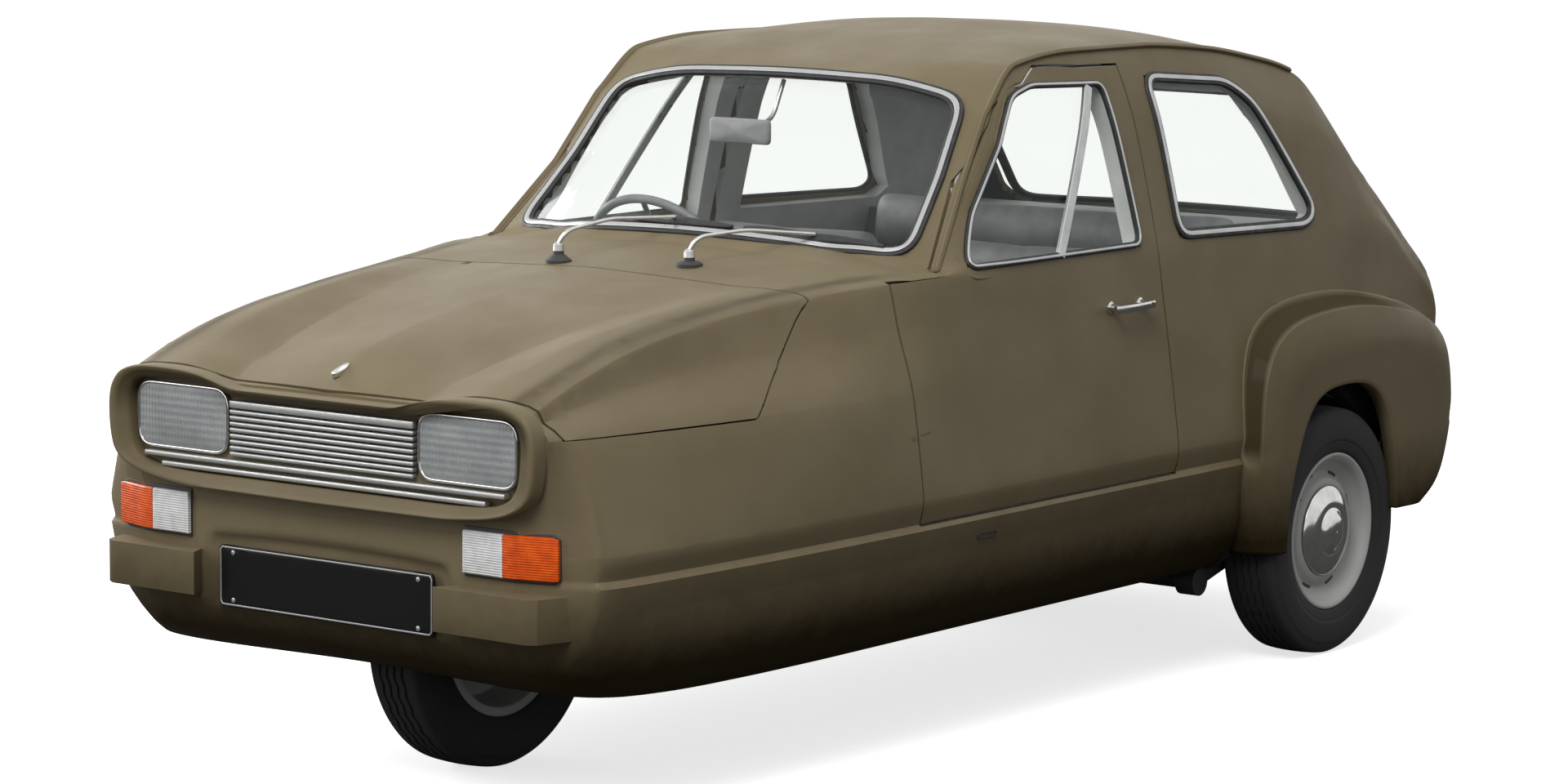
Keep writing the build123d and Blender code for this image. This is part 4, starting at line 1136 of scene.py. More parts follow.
def slope_corners(half: Sequence[tuple[float, float]]) -> list[tuple[float, float]]:
    """A window's outline from its left half, bottom to top, in metres."""
    left = [(y * MM, up * MM) for y, up in half]
    return left + [(-y, up) for y, up in reversed(left)]


SCREEN = SlopedWindow((rear(1440), (BELT + 20) * MM), math.radians(44),
                      slope_corners([(250, 42), (486, 85), (434, 470), (250, 486)]), 0.045)
BACK_LEAN = math.atan2(GUTTER - 69 - (BELT - 42), 358)
BACK = SlopedWindow((rear(-468), (BELT - 42) * MM), -BACK_LEAN,
                    slope_corners([(455, 30), (405, 425)]), 0.05)
DOOR_WINDOW = [(rear(662), BELT + 9), (rear(682), GUTTER - 67), (rear(935), GUTTER - 60),
               (rear(1003), GUTTER - 78), (rear(1272), BELT + 6)]
QUARTER_WINDOW = [(rear(514), BELT + 18), (rear(516), GUTTER - 60), (rear(218), GUTTER - 80),
                  (rear(140), GUTTER - 122), (rear(-37), BELT + 34), (rear(2), BELT + 6)]


def side_loop(corners: Sequence[tuple[float, float]], inset: float, corner: float,
              count: int = 200) -> tuple[Array, Array]:
    """A side window's edge on the left skin, drawn in by an inset.

    Args:
        corners: (x in metres, z in millimetres) corners.
        inset: how far in, in metres.
        corner: the corners' radius.
        count: how many points.

    Returns:
        The points and the directions off the skin.
    """
    flat = np.array([(x, z * MM) for x, z in corners])
    centre = flat.mean(0)
    flat = flat - unit(flat - centre) * inset * 1.35
    path = resample(rounded(flat, corner, 8), count, True)
    places, out = FORM.on_side(path[:, 0], path[:, 1])
    return softened(places), unit(softened(out))


NOSE_X = front(433)


# ---------------------------------------------------------------- body
class Layer(IntEnum):
    """What a painted panel's faces are made of: its material's place in the list."""

    PAINT = 0
    LINING = 1
    CARPET = 2
    BAY = 3


@dataclass
class BodyPanels:
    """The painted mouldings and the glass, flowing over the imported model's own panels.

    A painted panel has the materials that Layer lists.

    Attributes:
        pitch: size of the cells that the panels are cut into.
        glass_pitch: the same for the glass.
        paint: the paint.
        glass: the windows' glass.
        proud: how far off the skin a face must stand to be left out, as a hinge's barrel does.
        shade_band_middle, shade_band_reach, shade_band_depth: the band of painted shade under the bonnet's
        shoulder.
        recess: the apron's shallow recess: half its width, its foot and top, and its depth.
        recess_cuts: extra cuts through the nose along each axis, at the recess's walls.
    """

    pitch: float = 0.024
    glass_pitch: float = 0.04
    paint: Finish = PAINT
    glass: Finish = WINDOW
    proud: float = 0.0015
    shade_band_middle: float = 0.012
    shade_band_reach: float = 0.022
    shade_band_depth: float = 0.52
    recess: tuple[float, float, float, float] = (0.305, 0.320, 0.482, 0.011)
    recess_cuts: tuple[tuple[float, ...], ...] = (
        (), (-0.310, -0.301, -0.292, -0.283, -0.272, 0.272, 0.283, 0.292, 0.301, 0.310),
        (0.324, 0.332, 0.342, 0.452, 0.460, 0.467, 0.474, 0.482))
    painted: tuple[tuple[str, str], ...] = (
        ("nose_shell", "body"), ("cabin_shell", "body"), ("tail_shell", "body"), ("bonnet", "bonnet"),
        ("engine_lid", "engine_lid"), ("door_left", "door_left"), ("door_right", "door_right"),
    )
    panes: tuple[tuple[str, str], ...] = (
        ("windscreen", "body"), ("rear_window", "body"), ("quarter_glass", "body"),
        ("door_glass_left", "door_left"), ("door_glass_right", "door_right"),
    )

    def inside(self, points: Array, faces: Sequence[Sequence[int]]) -> tuple[Array, Array, Array]:
        """How far each face lies off the straight-sided skin, and its middle.

        Args:
            points, faces: a panel, before it flows.

        Returns:
            The gap of each face's nearest corner, below 0 where the face stands outside, the gap
            of its deepest corner, and its middle.
        """
        straight, _ = FORM.sections(points[:, 0])
        y, z = np.abs(points[:, 1]), points[:, 2]
        t, gap = FORM.nearest(straight, y, z)
        k = np.clip(t.astype(int), 0, 13)
        rows = np.arange(len(t))
        side = straight[rows, k + 1] - straight[rows, k]
        off = np.stack([y, z], -1) - straight[rows, k] - (t - k)[:, None] * side
        gap = np.where(off[:, 0] * side[:, 1] - off[:, 1] * side[:, 0] > 0, -gap, gap)
        middles = np.array([points[face].mean(0) for face in faces])
        gaps = [gap[face] for face in faces]
        least = np.array([own[np.abs(own).argmin()] for own in gaps])
        outer = np.array([own.min() for own in gaps])
        deep = np.array([own.max() for own in gaps])
        return np.where(outer < -self.proud, outer, least), deep, middles

    def apron(self, points: Array) -> Array:
        """Sinks the recess round the number plate into the flat of the nose, with sloping walls."""
        half, low, high, depth = self.recess
        y, z = np.abs(points[:, 1]), points[:, 2]
        sag = 0.012 * (y / half) ** 2
        wall = ramp(y, half, -0.034) * ramp(z, low, 0.025) * ramp(z, high - sag, -0.024)
        on_face = points[:, 0] > NOSE_X - 0.003
        moved = points.copy()
        moved[:, 0] -= on_face * depth * wall**2 * (3 - 2 * wall)
        return moved

    def cells(self, node: str, pitch: float) -> tuple[Array, list[list[int]]]:
        """A node's mesh, merged and cut by even planes along all three axes.

        Args:
            node: the node to copy.
            pitch: from plane to plane.

        Returns:
            Its points and faces.
        """
        work = merged(node, 0.3)
        low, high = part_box(node)
        for axis in range(3):
            normal = [0.0, 0.0, 0.0]
            normal[axis] = 1.0
            extra = self.recess_cuts[axis] if node == "nose_shell" else ()
            first = math.ceil(low[axis] / pitch) * pitch + pitch * 0.37
            for place in (*np.arange(first, high[axis], pitch), *extra):
                bmesh.ops.bisect_plane(work, geom=[*work.verts, *work.edges, *work.faces], dist=1e-6,
                                       plane_co=[place * n for n in normal], plane_no=normal)
        bmesh.ops.triangulate(work, faces=[face for face in work.faces if len(face.verts) > 4])
        return arrays_of(work)

    def panel(self, node: str, body: str, finish: Finish, pitch: float) -> Piece:
        """One panel, with its skin flowing."""
        points, faces = self.cells(node, pitch)
        gap, deep, middles = self.inside(points, faces)
        x = middles[:, 0]
        proud = (gap < -self.proud) & (x > rear(-556)) & (x < NOSE_X - 0.01)
        if finish is self.paint and proud.any():
            faces = [face for face, gone in zip(faces, proud) if not gone]
            if node != "tail_shell":
                points, faces = self.healed(points, faces)
            gap, deep, middles = self.inside(points, faces)
        shade = self.shoulder(points)
        points = FORM.flow(points)
        if node == "nose_shell":
            points = self.apron(points)
        piece = Piece(node + "_skin", points, faces)
        mesh = piece.object.data
        mesh.shade_smooth()
        mesh.set_sharp_from_angle(angle=math.radians(31))
        piece.dress(finish)
        if finish is self.paint:
            self.line(mesh, gap, deep, middles)
            # Painted shade under the bonnet's shoulder.
            piece.paint_shade(shade)
        return piece.ride(body, node)

    def shoulder(self, points: Array) -> Array:
        """The painted shade at each point: a soft band just under the bonnet's shoulder."""
        straight, _ = FORM.sections(points[:, 0])
        t, gap = FORM.nearest(straight, np.abs(points[:, 1]), points[:, 2])
        k = np.clip(t.astype(int), 0, 13)
        rows = np.arange(len(t))
        length = np.linalg.norm(straight[rows, k + 1] - straight[rows, k], axis=-1)
        upper = np.linalg.norm(straight[:, 11] - straight[:, 10], axis=-1)
        down = np.where(t > 10, (11 - t) * length, upper + (10 - t) * length)
        band = np.exp(-(((down - self.shade_band_middle) / self.shade_band_reach) ** 2))
        band *= (t > 9) * (t < 12) * (gap < 0.003)
        return self.shade_band_depth * band * ramp(points[:, 0], rear(1390), 0.12)

    def healed(self, points: Array, faces: Sequence[Sequence[int]]) -> tuple[Array, list[list[int]]]:
        """Closes the holes that are left in a panel where a hinge barrel stood on it."""
        mesh = bpy.data.meshes.new("panel")
        mesh.from_pydata(points.tolist(), [], [list(face) for face in faces])
        work = bmesh.new()
        work.from_mesh(mesh)
        bpy.data.meshes.remove(mesh)
        loose = [vertex for vertex in work.verts if not vertex.link_faces]
        bmesh.ops.delete(work, geom=loose, context="VERTS")
        edges = [edge for edge in work.edges if len(edge.link_faces) == 1]
        filled = bmesh.ops.holes_fill(work, edges=edges, sides=0)["faces"]
        bmesh.ops.triangulate(work, faces=filled)
        bmesh.ops.recalc_face_normals(work, faces=work.faces)
        return arrays_of(work)

    def line(self, mesh: bpy.types.Mesh, gap: Array, deep: Array, middles: Array) -> None:
        """Lines the cabin in grey, carpets its floor and blackens the bays behind the paint."""
        for lining in (LINING, CARPET, CHASSIS):
            mesh.materials.append(lining.build())
        x, y, z = middles[:, 0], np.abs(middles[:, 1]), middles[:, 2]
        normals = np.empty(len(mesh.polygons) * 3, np.float32)
        mesh.polygons.foreach_get("normal", normals)
        lengthways = np.abs(normals.reshape(-1, 3)[:, 0])
        belt = (BELT - 12) * MM
        cabin = (x > rear(-342)) & (x < front(-330)) & (z > 0.235)
        arch = (x < rear(300)) & (x > rear(-330)) & (z < 0.63) & (y > 0.5)
        shut = (np.abs(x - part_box("door_left")[0][0]) < 0.014) & (lengthways > 0.6)
        window = cabin & (z > belt) & (x < rear(1000)) & ~shut
        edge = cabin & (z < belt) & (y > 0.45) & (lengthways > 0.75)
        edge |= cabin & shut & (gap < 0.02)
        hidden = ((gap > 0.003) | (window & (deep > 0.012))) & ~edge
        lined = (hidden | arch) & (x < NOSE_X - 0.001) & (x > rear(-571))
        layer = np.where(z < 0.262, Layer.CARPET, Layer.LINING)
        layer = np.where(arch | ~cabin, Layer.BAY, layer)
        layer = np.where(lined, layer, Layer.PAINT)
        mesh.polygons.foreach_set("material_index", layer.astype(np.int32))

    def build(self) -> None:
        """Builds every panel and pane."""
        for node, body in self.painted:
            self.panel(node, body, self.paint, self.pitch)
        for node, body in self.panes:
            self.panel(node, body, self.glass, self.glass_pitch)


def plain(name: str, shape: tuple[Array, object], finish: Finish, body: str, *replaced: str,
          smooth: Smooth = Smooth.CREASED, bevel: float = 0.0, flip: bool = False) -> Piece:
    """One piece from one shape: made, shaded, dressed and fixed to its body.

    Args:
        name: the piece's name.
        shape: its points and faces.
        finish: its finish.
        body: the body that it rides on.
        replaced: the nodes that it stands for.
        smooth: how its faces meet.
        bevel: rounding of its edges in metres, or 0.
        flip: whether it is the mirror image.

    Returns:
        The piece.
    """
    points, faces = shape
    piece = Piece(name, mirrored(points) if flip else points, faces).tidy(smooth)
    if bevel:
        piece.bevel(bevel)
    return piece.dress(finish).ride(body, *replaced)


def both_sides(name: str, shape: tuple[Array, object], finish: Finish, *replaced: str,
               bevel: float = 0.0) -> Piece:
    """One piece on the body that holds a shape of the left side and its mirror image."""
    points, faces = shape
    shapes = together([(points, faces), (mirrored(points), faces)])
    return plain(name, shapes, finish, "body", *replaced, bevel=bevel)


# ---------------------------------------------------------------- windows
@dataclass
class Glazing:
    """Rubber seals, bright inserts, the bar in each door window and the drip rail over the doors."""

    seal_width: float = 0.020
    seal_depth: float = 0.009
    insert_width: float = 0.008
    corner: float = 0.022
    rail_width: float = 0.010
    frame_width: float = 0.028

    def seal(self, name: str, path: Array, out: Array, body: str, flip: bool = False,
             width: float | None = None) -> None:
        """A rubber seal along a closed edge, and the bright insert in its groove.

        Args:
            name: what it goes round.
            path, out: the edge, and the directions off the skin.
            body: the body that it rides on.
            flip: whether it is the mirror image.
            width: the rubber's width, or None for the usual one.
        """
        width = width or self.seal_width
        rubber = bar_profile(width, self.seal_depth, 0.004) - np.array([0, 0.004])
        bright = bar_profile(self.insert_width * width / self.seal_width, 0.0035, 0.0012)
        bright = bright + np.array([0, self.seal_depth - 0.0052])
        for part, profile, finish in (("seal", rubber, SEAL), ("insert", bright, TRIM)):
            plain(f"{name}_{part}", sweep(path, out, profile, closed=True), finish, body, flip=flip)

    def bar(self, side: str, flip: bool) -> None:
        """The slanted bar that parts a door's window, with its flat chrome face."""
        t = np.linspace(0, 1, 24)
        x = rear(956) + t * (rear(734) - rear(956))
        z = (BELT + 7 + t * (GUTTER - 79 - BELT)) * MM
        path, out = FORM.on_side(x, z, -0.004)
        shape = sweep(path, out, bar_profile(0.024, 0.009, 0.003))
        plain(f"window_bar_{side}", shape, TRIM, f"door_{side}", flip=flip)

    def frame(self, name: str, path: Array, out: Array, body: str, flip: bool) -> None:
        """The painted channel that a side window's seal sits in, a little under the skin.

        Args:
            name: what it goes round.
            path, out: the edge, and the directions off the skin.
            body: the body that it rides on.
            flip: whether it is the mirror image.
        """
        along = np.roll(path, -1, 0) - np.roll(path, 1, 0)
        outward = np.sign((np.cross(along, out) * (path - path.mean(0))).sum(1).mean())
        profile = bar_profile(self.frame_width, 0.003, 0.001)
        profile = profile * (outward, 1) + np.array([outward * (self.frame_width / 2 - 0.004), -0.0055])
        plain(f"{name}_frame", sweep(path, out, profile, closed=True), PAINT, body, flip=flip)

    def drip_rail(self) -> None:
        """A narrow painted rail along the roof's edge, from the screen's foot to the rear quarter."""
        x = np.concatenate([np.linspace(rear(1345), rear(960), 60),
                            np.linspace(rear(945), rear(-90), 70)])
        section = FORM.dense(x, 10.96, 11.0, 2)[:, -1]
        path = np.stack([x, section[:, 0], section[:, 1]], -1)
        out = unit(np.array([0.0, 0.75, 0.66]))
        profile = bar_profile(self.rail_width, 0.012, 0.0025) - np.array([0, 0.005])
        both_sides("drip_rail", sweep(path, out, profile), PAINT)

    def build(self) -> None:
        """Builds every seal, bar and rail."""
        self.seal("windscreen", SCREEN.loop(0.001), SCREEN.out, "body", width=0.026)
        self.seal("rear_window", BACK.loop(0.001), BACK.out, "body", width=0.024)
        for side, flip in (("left", False), ("right", True)):
            path, out = side_loop(QUARTER_WINDOW, 0.001, self.corner + 0.012)
            self.seal(f"quarter_window_{side}", path, out, "body", flip, width=0.024)
            self.frame(f"quarter_window_{side}", path, out, "body", flip)
            path, out = side_loop(DOOR_WINDOW, 0.001, 0.012)
            self.seal(f"door_window_{side}", path, out, f"door_{side}", flip, width=0.014)
            self.frame(f"door_window_{side}", path, out, f"door_{side}", flip)
            self.bar(side, flip)
        self.drip_rail()


@dataclass
class Wipers:
    """Two wipers at rest on the screen's lower edge: a cone, a bent arm and a bowed blade each.

    Attributes:
        feet: where the cones stand.
        blades: both ends of each blade, across the screen and up its slope.
    """

    feet: tuple[tuple[float, float], ...] = ((rear(1664), -0.105), (rear(1598), 0.165))
    blades: tuple[tuple[tuple[float, float], tuple[float, float]], ...] = (
        ((-0.172, 0.062), (0.122, 0.056)), ((0.150, 0.056), (0.440, 0.086)))
    cone_radius: float = 0.026

    def blade(self, start: Sequence[float], end: Sequence[float]) -> tuple[tuple[Array, Array], Array]:
        """A lens-shaped blade along the glass: round sections whose height follows a half sine.

        Args:
            start, end: its ends, flat on the screen.

        Returns:
            Its points and faces, and the place of its middle.
        """
        t = np.linspace(0, 1, 40)
        flat = np.array(start) + t[:, None] * (np.array(end) - np.array(start))
        foot = SCREEN.on_skin(flat)
        up = np.cross([0.0, 1.0, 0.0], SCREEN.out) * -1
        tall = 0.0035 + 0.0065 * np.sin(math.pi * t) ** 0.7
        turn = np.linspace(0, 2 * math.pi, 14, endpoint=False)
        ring = (np.cos(turn)[None, :, None] * up * tall[:, None, None]
                + np.sin(turn)[None, :, None] * SCREEN.out * 0.0042)
        points = foot[:, None] + SCREEN.out * 0.0085 + ring
        faces = grid_faces(40, 14, False, True).tolist()
        faces += [list(range(14))[::-1], [39 * 14 + k for k in range(14)]]
        return (points, faces), foot[20] + SCREEN.out * 0.013

    def build(self) -> None:
        """Builds both."""
        cones, arms, blades = [], [], []
        for (x, y), (start, end) in zip(self.feet, self.blades):
            foot = float(FORM.top(np.array([x]), np.array([y]))[0])
            rise = (BELT + 30) * MM
            r = self.cone_radius
            cone = [(foot - 0.004, 0.0), (foot - 0.004, r), (foot + 0.004, r), (foot + 0.008, r * 0.8),
                    (rise - 0.012, r * 0.42), (rise - 0.004, r * 0.4), (rise - 0.002, 0.0)]
            cones.append(turned(cone, (x, y, 0), 28, "Z"))
            cap = [(rise - 0.006, 0.0), (rise - 0.006, 0.011), (rise + 0.006, 0.010),
                   (rise + 0.010, 0.006), (rise + 0.011, 0.0)]
            arms.append(turned(cap, (x, y, 0), 24, "Z"))
            shape, middle = self.blade(start, end)
            blades.append(shape)
            elbow = np.array([(x, y, rise), (x - 0.010, y + 0.012, rise + 0.030),
                              0.55 * np.array([x, y, rise + 0.050]) + 0.45 * middle, middle])
            path = resample(rounded(elbow, 0.022, 8, False), 40)
            arms.append(sweep(path, (0.3, 0.0, 1.0), bar_profile(0.0105, 0.0065, 0.0025)))
        plain("wiper_cones", together(cones), BLACK, "body", "wipers")
        plain("wiper_arms", together(arms), DULL_METAL, "body")
        plain("wiper_blades", together(blades), SEAL, "body")


# ---------------------------------------------------------------- nose
NOSE_HALF = 520.0
PLATE_BORDER = bar_profile(0.0032, 0.0022, 0.0008)


def half_outline(insets: Sequence[tuple[float, float]], top: float, bottom: float) -> Array:
    """A mirrored outline on the flat nose, clockwise from the top of the middle line.

    Args:
        insets: (in from the nose's edge, height) points in millimetres.
        top, bottom: heights where it crosses the middle.

    Returns:
        Flat (across, up) points in metres.
    """
    left = [(0.0, top)] + [(NOSE_HALF - inset, z) for inset, z in insets] + [(0.0, bottom)]
    right = [(-y, z) for y, z in reversed(left[1:-1])]
    return np.array(left + right) * MM


@dataclass
class Nose:
    """The lamp surround, headlamps, grille, front lamps, blocks and number plate.

    Attributes:
        outer, inner: the surround's outlines, as points in from the nose's edge and up, in millimetres.
        lamp_y, lamp_z, lamp_corner: the headlamps' sides, foot and top, and their corners' radius.
        bar_count, bar_pitch, bar_foot: the grille's bars.
        flasher_cut: how far the flasher ends ahead of its solid's rear end.
        white_length: how long the white lamp is.
        lip_shade_depth: how strong the painted shade is inside the surround's lip.
        brow: the surround's section, as shares of the way in and depths off the nose.
        plate: the number plate's width and height, and its middle's height.
    """

    outer: tuple[tuple[float, float], ...] = (
        (315, 741), (280, 751), (240, 762), (180, 768), (86, 768), (35, 755), (11, 728),
        (4, 692), (7, 637), (18, 597), (60, 572), (112, 560), (210, 550))
    inner: tuple[tuple[float, float], ...] = (
        (308, 722), (274, 734), (234, 743), (100, 744), (64, 736), (50, 716), (46, 690),
        (49, 640), (58, 610), (78, 592), (116, 580), (210, 576))
    lamp_y: tuple[float, float] = (0.232, 0.457)
    lamp_z: tuple[float, float] = (0.615, 0.732)
    lamp_corner: float = 0.034
    bar_count: int = 9
    bar_pitch: float = 0.011
    bar_foot: float = 0.614
    flasher_cut: float = 0.030
    white_length: float = 0.092
    lip_shade_depth: float = 0.62
    brow: tuple[tuple[float, float], ...] = (
        (0.0, 0.0003), (0.0, 0.012), (0.0, 0.0265), (0.02, 0.031), (0.07, 0.0338), (0.15, 0.0348),
        (0.3, 0.0335), (0.5, 0.0300), (0.72, 0.0262), (0.9, 0.0235), (0.97, 0.0205), (1.0, 0.0165),
        (1.0, 0.01), (1.0, 0.0003))
    plate: tuple[float, float, float] = (0.521, 0.114, 0.389)

    def surround(self) -> None:
        """The moulded ring round the lamps: outer and inner outlines joined by a rounded brow, with
        painted shade inside its lip.
        """
        count = 360
        rings = []
        for outline in (half_outline(self.outer, 741, 548), half_outline(self.inner, 722, 576)):
            loop = rounded(outline, 0.03, 6)
            turn = np.unwrap(np.arctan2((loop[:, 1] - 0.658) * 4.2, loop[:, 0]))
            order = np.argsort(turn)
            wanted = np.linspace(turn.min(), turn.min() + 2 * math.pi, count, endpoint=False)
            cycle = np.concatenate([turn[order], [turn[order][0] + 2 * math.pi]])
            round_again = loop[np.append(order, order[0])]
            rings.append(np.stack([np.interp(wanted, cycle, column) for column in round_again.T], -1))
        outer, inner = rings
        layers = [np.stack([np.full(count, NOSE_X + d), *((1 - a) * outer + a * inner).T], -1)
                  for a, d in self.brow]
        faces = grid_faces(len(layers), count, True, True)
        piece = plain("lamp_surround", (np.stack(layers), faces), PAINT, "body", "nose_surround")
        places = piece.places()
        near, far = (np.linalg.norm(places[:, None, 1:] - ring[None], axis=-1).min(1)
                     for ring in (inner, outer))
        # Painted shade inside the lip, stronger towards the top, under the brow.
        lip = ramp(near / (near + far + 1e-6), 0.80, -0.3)
        piece.paint_shade(self.lip_shade_depth * lip * (0.3 + 0.7 * ramp(places[:, 2], 0.665, 0.05)))

    def headlamp(self) -> None:
        """A reflector, a chrome rim and a crowned, fluted lens on each side."""
        (y0, y1), (z0, z1) = self.lamp_y, self.lamp_z
        outline = resample(rounded(rectangle(y0, z0, y1, z1), self.lamp_corner, 10), 120, True)
        bowl = slab(outline, facing_x(NOSE_X + 0.0005), (0.004, 0, 0), 0.002, -0.003)
        both_sides("headlamp_reflector", bowl, REFLECTOR)
        inner = outline * 0.985 + 0.015 * outline.mean(0)
        lens = slab(inner, facing_x(NOSE_X + 0.0052), (0.0065, 0, 0), 0.004, 0.004, 14)
        both_sides("headlamp_lens", lens, LENS, "headlamps")
        rim = sweep(facing_x(NOSE_X + 0.004)(outline), (1.0, 0, 0),
                    bar_profile(0.006, 0.0085, 0.0025), closed=True)
        both_sides("headlamp_rim", rim, CHROME)

    def grille(self) -> None:
        """Bright bars over a black back, and the two long strips beneath."""
        half = self.lamp_y[0] - 0.010
        outline = resample(rectangle(-half, 0.612, half, 0.716), 60, True)
        back = slab(outline, facing_x(NOSE_X + 0.0003), (0.004, 0, 0), 0.001)
        plain("grille_back", back, BLACK, "body", "grille", smooth=Smooth.FLAT)
        bars = []
        for i in range(self.bar_count):
            top = i == self.bar_count - 1
            tall = 0.0135 if top else 0.0074
            z = self.bar_foot + i * self.bar_pitch
            bars.append(pillow_box((NOSE_X + 0.004, -half, z), (NOSE_X + 0.017, half, z + tall),
                                   0.0022, 4))
        for y, z in ((0.392, 0.580), (0.436, 0.597)):
            bars.append(pillow_box((NOSE_X + 0.0005, -y, z), (NOSE_X + 0.020, y, z + 0.010), 0.0028, 4))
        plain("grille_bars", together(bars), DULL_METAL, "body")
        posts = [pillow_box((NOSE_X + 0.003, y - 0.004, 0.612), (NOSE_X + 0.010, y + 0.004, 0.712),
                            0.002, 3) for y in (-0.11, 0.0, 0.11)]
        plain("grille_posts", together(posts), BLACK, "body")

    def lamps(self) -> None:
        """White side lamps and amber flashers on one dark rubber gasket, wrapped round the corners; the
        gasket's rim above and below the lenses is painted shade of the recess that they sit in.
        """
        low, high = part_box("sidelamps")
        middle, tall = (low[2] + high[2]) / 2, high[2] - low[2]
        start, split = high[1] - self.white_length, high[1] + 0.001
        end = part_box("flashers")[0][0] + self.flasher_cut
        ends, _ = FORM.on_side([end, NOSE_X - 0.0005], [middle] * 2)
        corners = [(NOSE_X, start, middle), (NOSE_X, ends[1, 1], middle), ends[0]]
        path = resample(rounded(np.array(corners, float), 0.016, 8, False), 160)
        length = np.linalg.norm(np.diff(path, axis=0), axis=1).sum()
        parting = int(round((split - start) / length * 160))
        # The black gasket is taller than the lenses: its rim is painted shade of the lamps' recess.
        pieces = ((path, tall + 0.012, 0.0045, BLACK, "lamp_gasket", ()),
                  (path[1:parting], tall, 0.0125, CLEAR_LENS, "sidelamp_lens", ("sidelamps",)),
                  (path[parting:-1], tall, 0.0125, AMBER, "flasher_lens", ("flashers",)))
        for part, width, depth, finish, name, node in pieces:
            along = unit(np.gradient(part, axis=0))
            profile = bar_profile(width, depth, 0.004) - np.array([0, 0.001])
            points, faces = sweep(part, np.cross(along, (0, 0, 1.0)), profile)
            shape = (self.ended(points, path[-1]), faces)
            both_sides(name, shape, finish, *node, bevel=0.0025 if node else 0)

    def ended(self, points: Array, end: Array) -> Array:
        """Rounds a lamp's corners towards its rear end."""
        left = np.clip(np.linalg.norm(points[..., :2] - end[:2], axis=-1) / 0.018, 0, 1)
        share = 0.6 + 0.4 * np.sqrt(1 - (1 - left) ** 2)
        points[..., 2] = end[2] + (points[..., 2] - end[2]) * share
        return points

    def blocks(self) -> None:
        """The painted bumper blocks, with soft edges."""
        points, faces = BodyPanels().cells("bumper_blocks", 0.05)
        piece = Piece("bumper_blocks_skin", points, faces)
        piece.tidy(Smooth.CREASED, 1e-5).bevel(0.005, 3).dress(PAINT).ride("body", "bumper_blocks")

    def number_plate(self) -> None:
        """A blank black plate with a pale border and four screws."""
        w, h, z = self.plate
        flat = rectangle(-w / 2, z - h / 2, w / 2, z + h / 2)
        edge = resample(rounded(flat, 0.006, 5), 160, True)
        face = slab(edge, facing_x(NOSE_X + 0.0003), (0.0045, 0, 0), 0.001)
        plain("front_plate_face", face, PLATE, "body", "front_plate")
        inset = edge.mean(0) + (edge - edge.mean(0)) * np.array([1 - 0.008 / w, 1 - 0.008 / h])
        border = sweep(facing_x(NOSE_X + 0.0040)(inset), (1.0, 0, 0), PLATE_BORDER, True)
        screw = [(0.004, 0.0045), (0.0062, 0.0045), (0.0068, 0.003), (0.0069, 0.0)]
        screws = [turned(screw, (NOSE_X, y, z + up), 14, "X")
                  for y in (-0.225, 0.225) for up in (-0.044, 0.044)]
        plain("front_plate_border", together([border, *screws]), TRIM, "body")

    def catch(self) -> None:
        """A small oval bonnet catch, bright, with a slot."""
        x, z = NOSE_X - 0.043, float(FORM.top(np.array([NOSE_X - 0.043]), np.array([0.0]))[0])
        turn = np.linspace(0, 2 * math.pi, 36, endpoint=False)
        oval = np.stack([0.024 * np.cos(turn), 0.0085 * np.sin(turn)], -1)
        lean = np.array([math.cos(0.33), -math.sin(0.33)])

        def on_bonnet(flat: Array) -> Array:
            """Lays the oval on the bonnet's slope."""
            along, across = flat.T
            return np.stack([x + along * lean[0], across, z - 0.003 + along * lean[1]], -1)

        shape = slab(oval, on_bonnet, (0.0035, 0, 0.0100), 0.004, 0.0015)
        plain("bonnet_catch_cap", shape, CHROME, "bonnet", "bonnet_catch")

    def build(self) -> None:
        """Builds the whole nose."""
        self.surround()
        self.headlamp()
        self.grille()
        self.lamps()
        self.blocks()
        self.number_plate()
        self.catch()


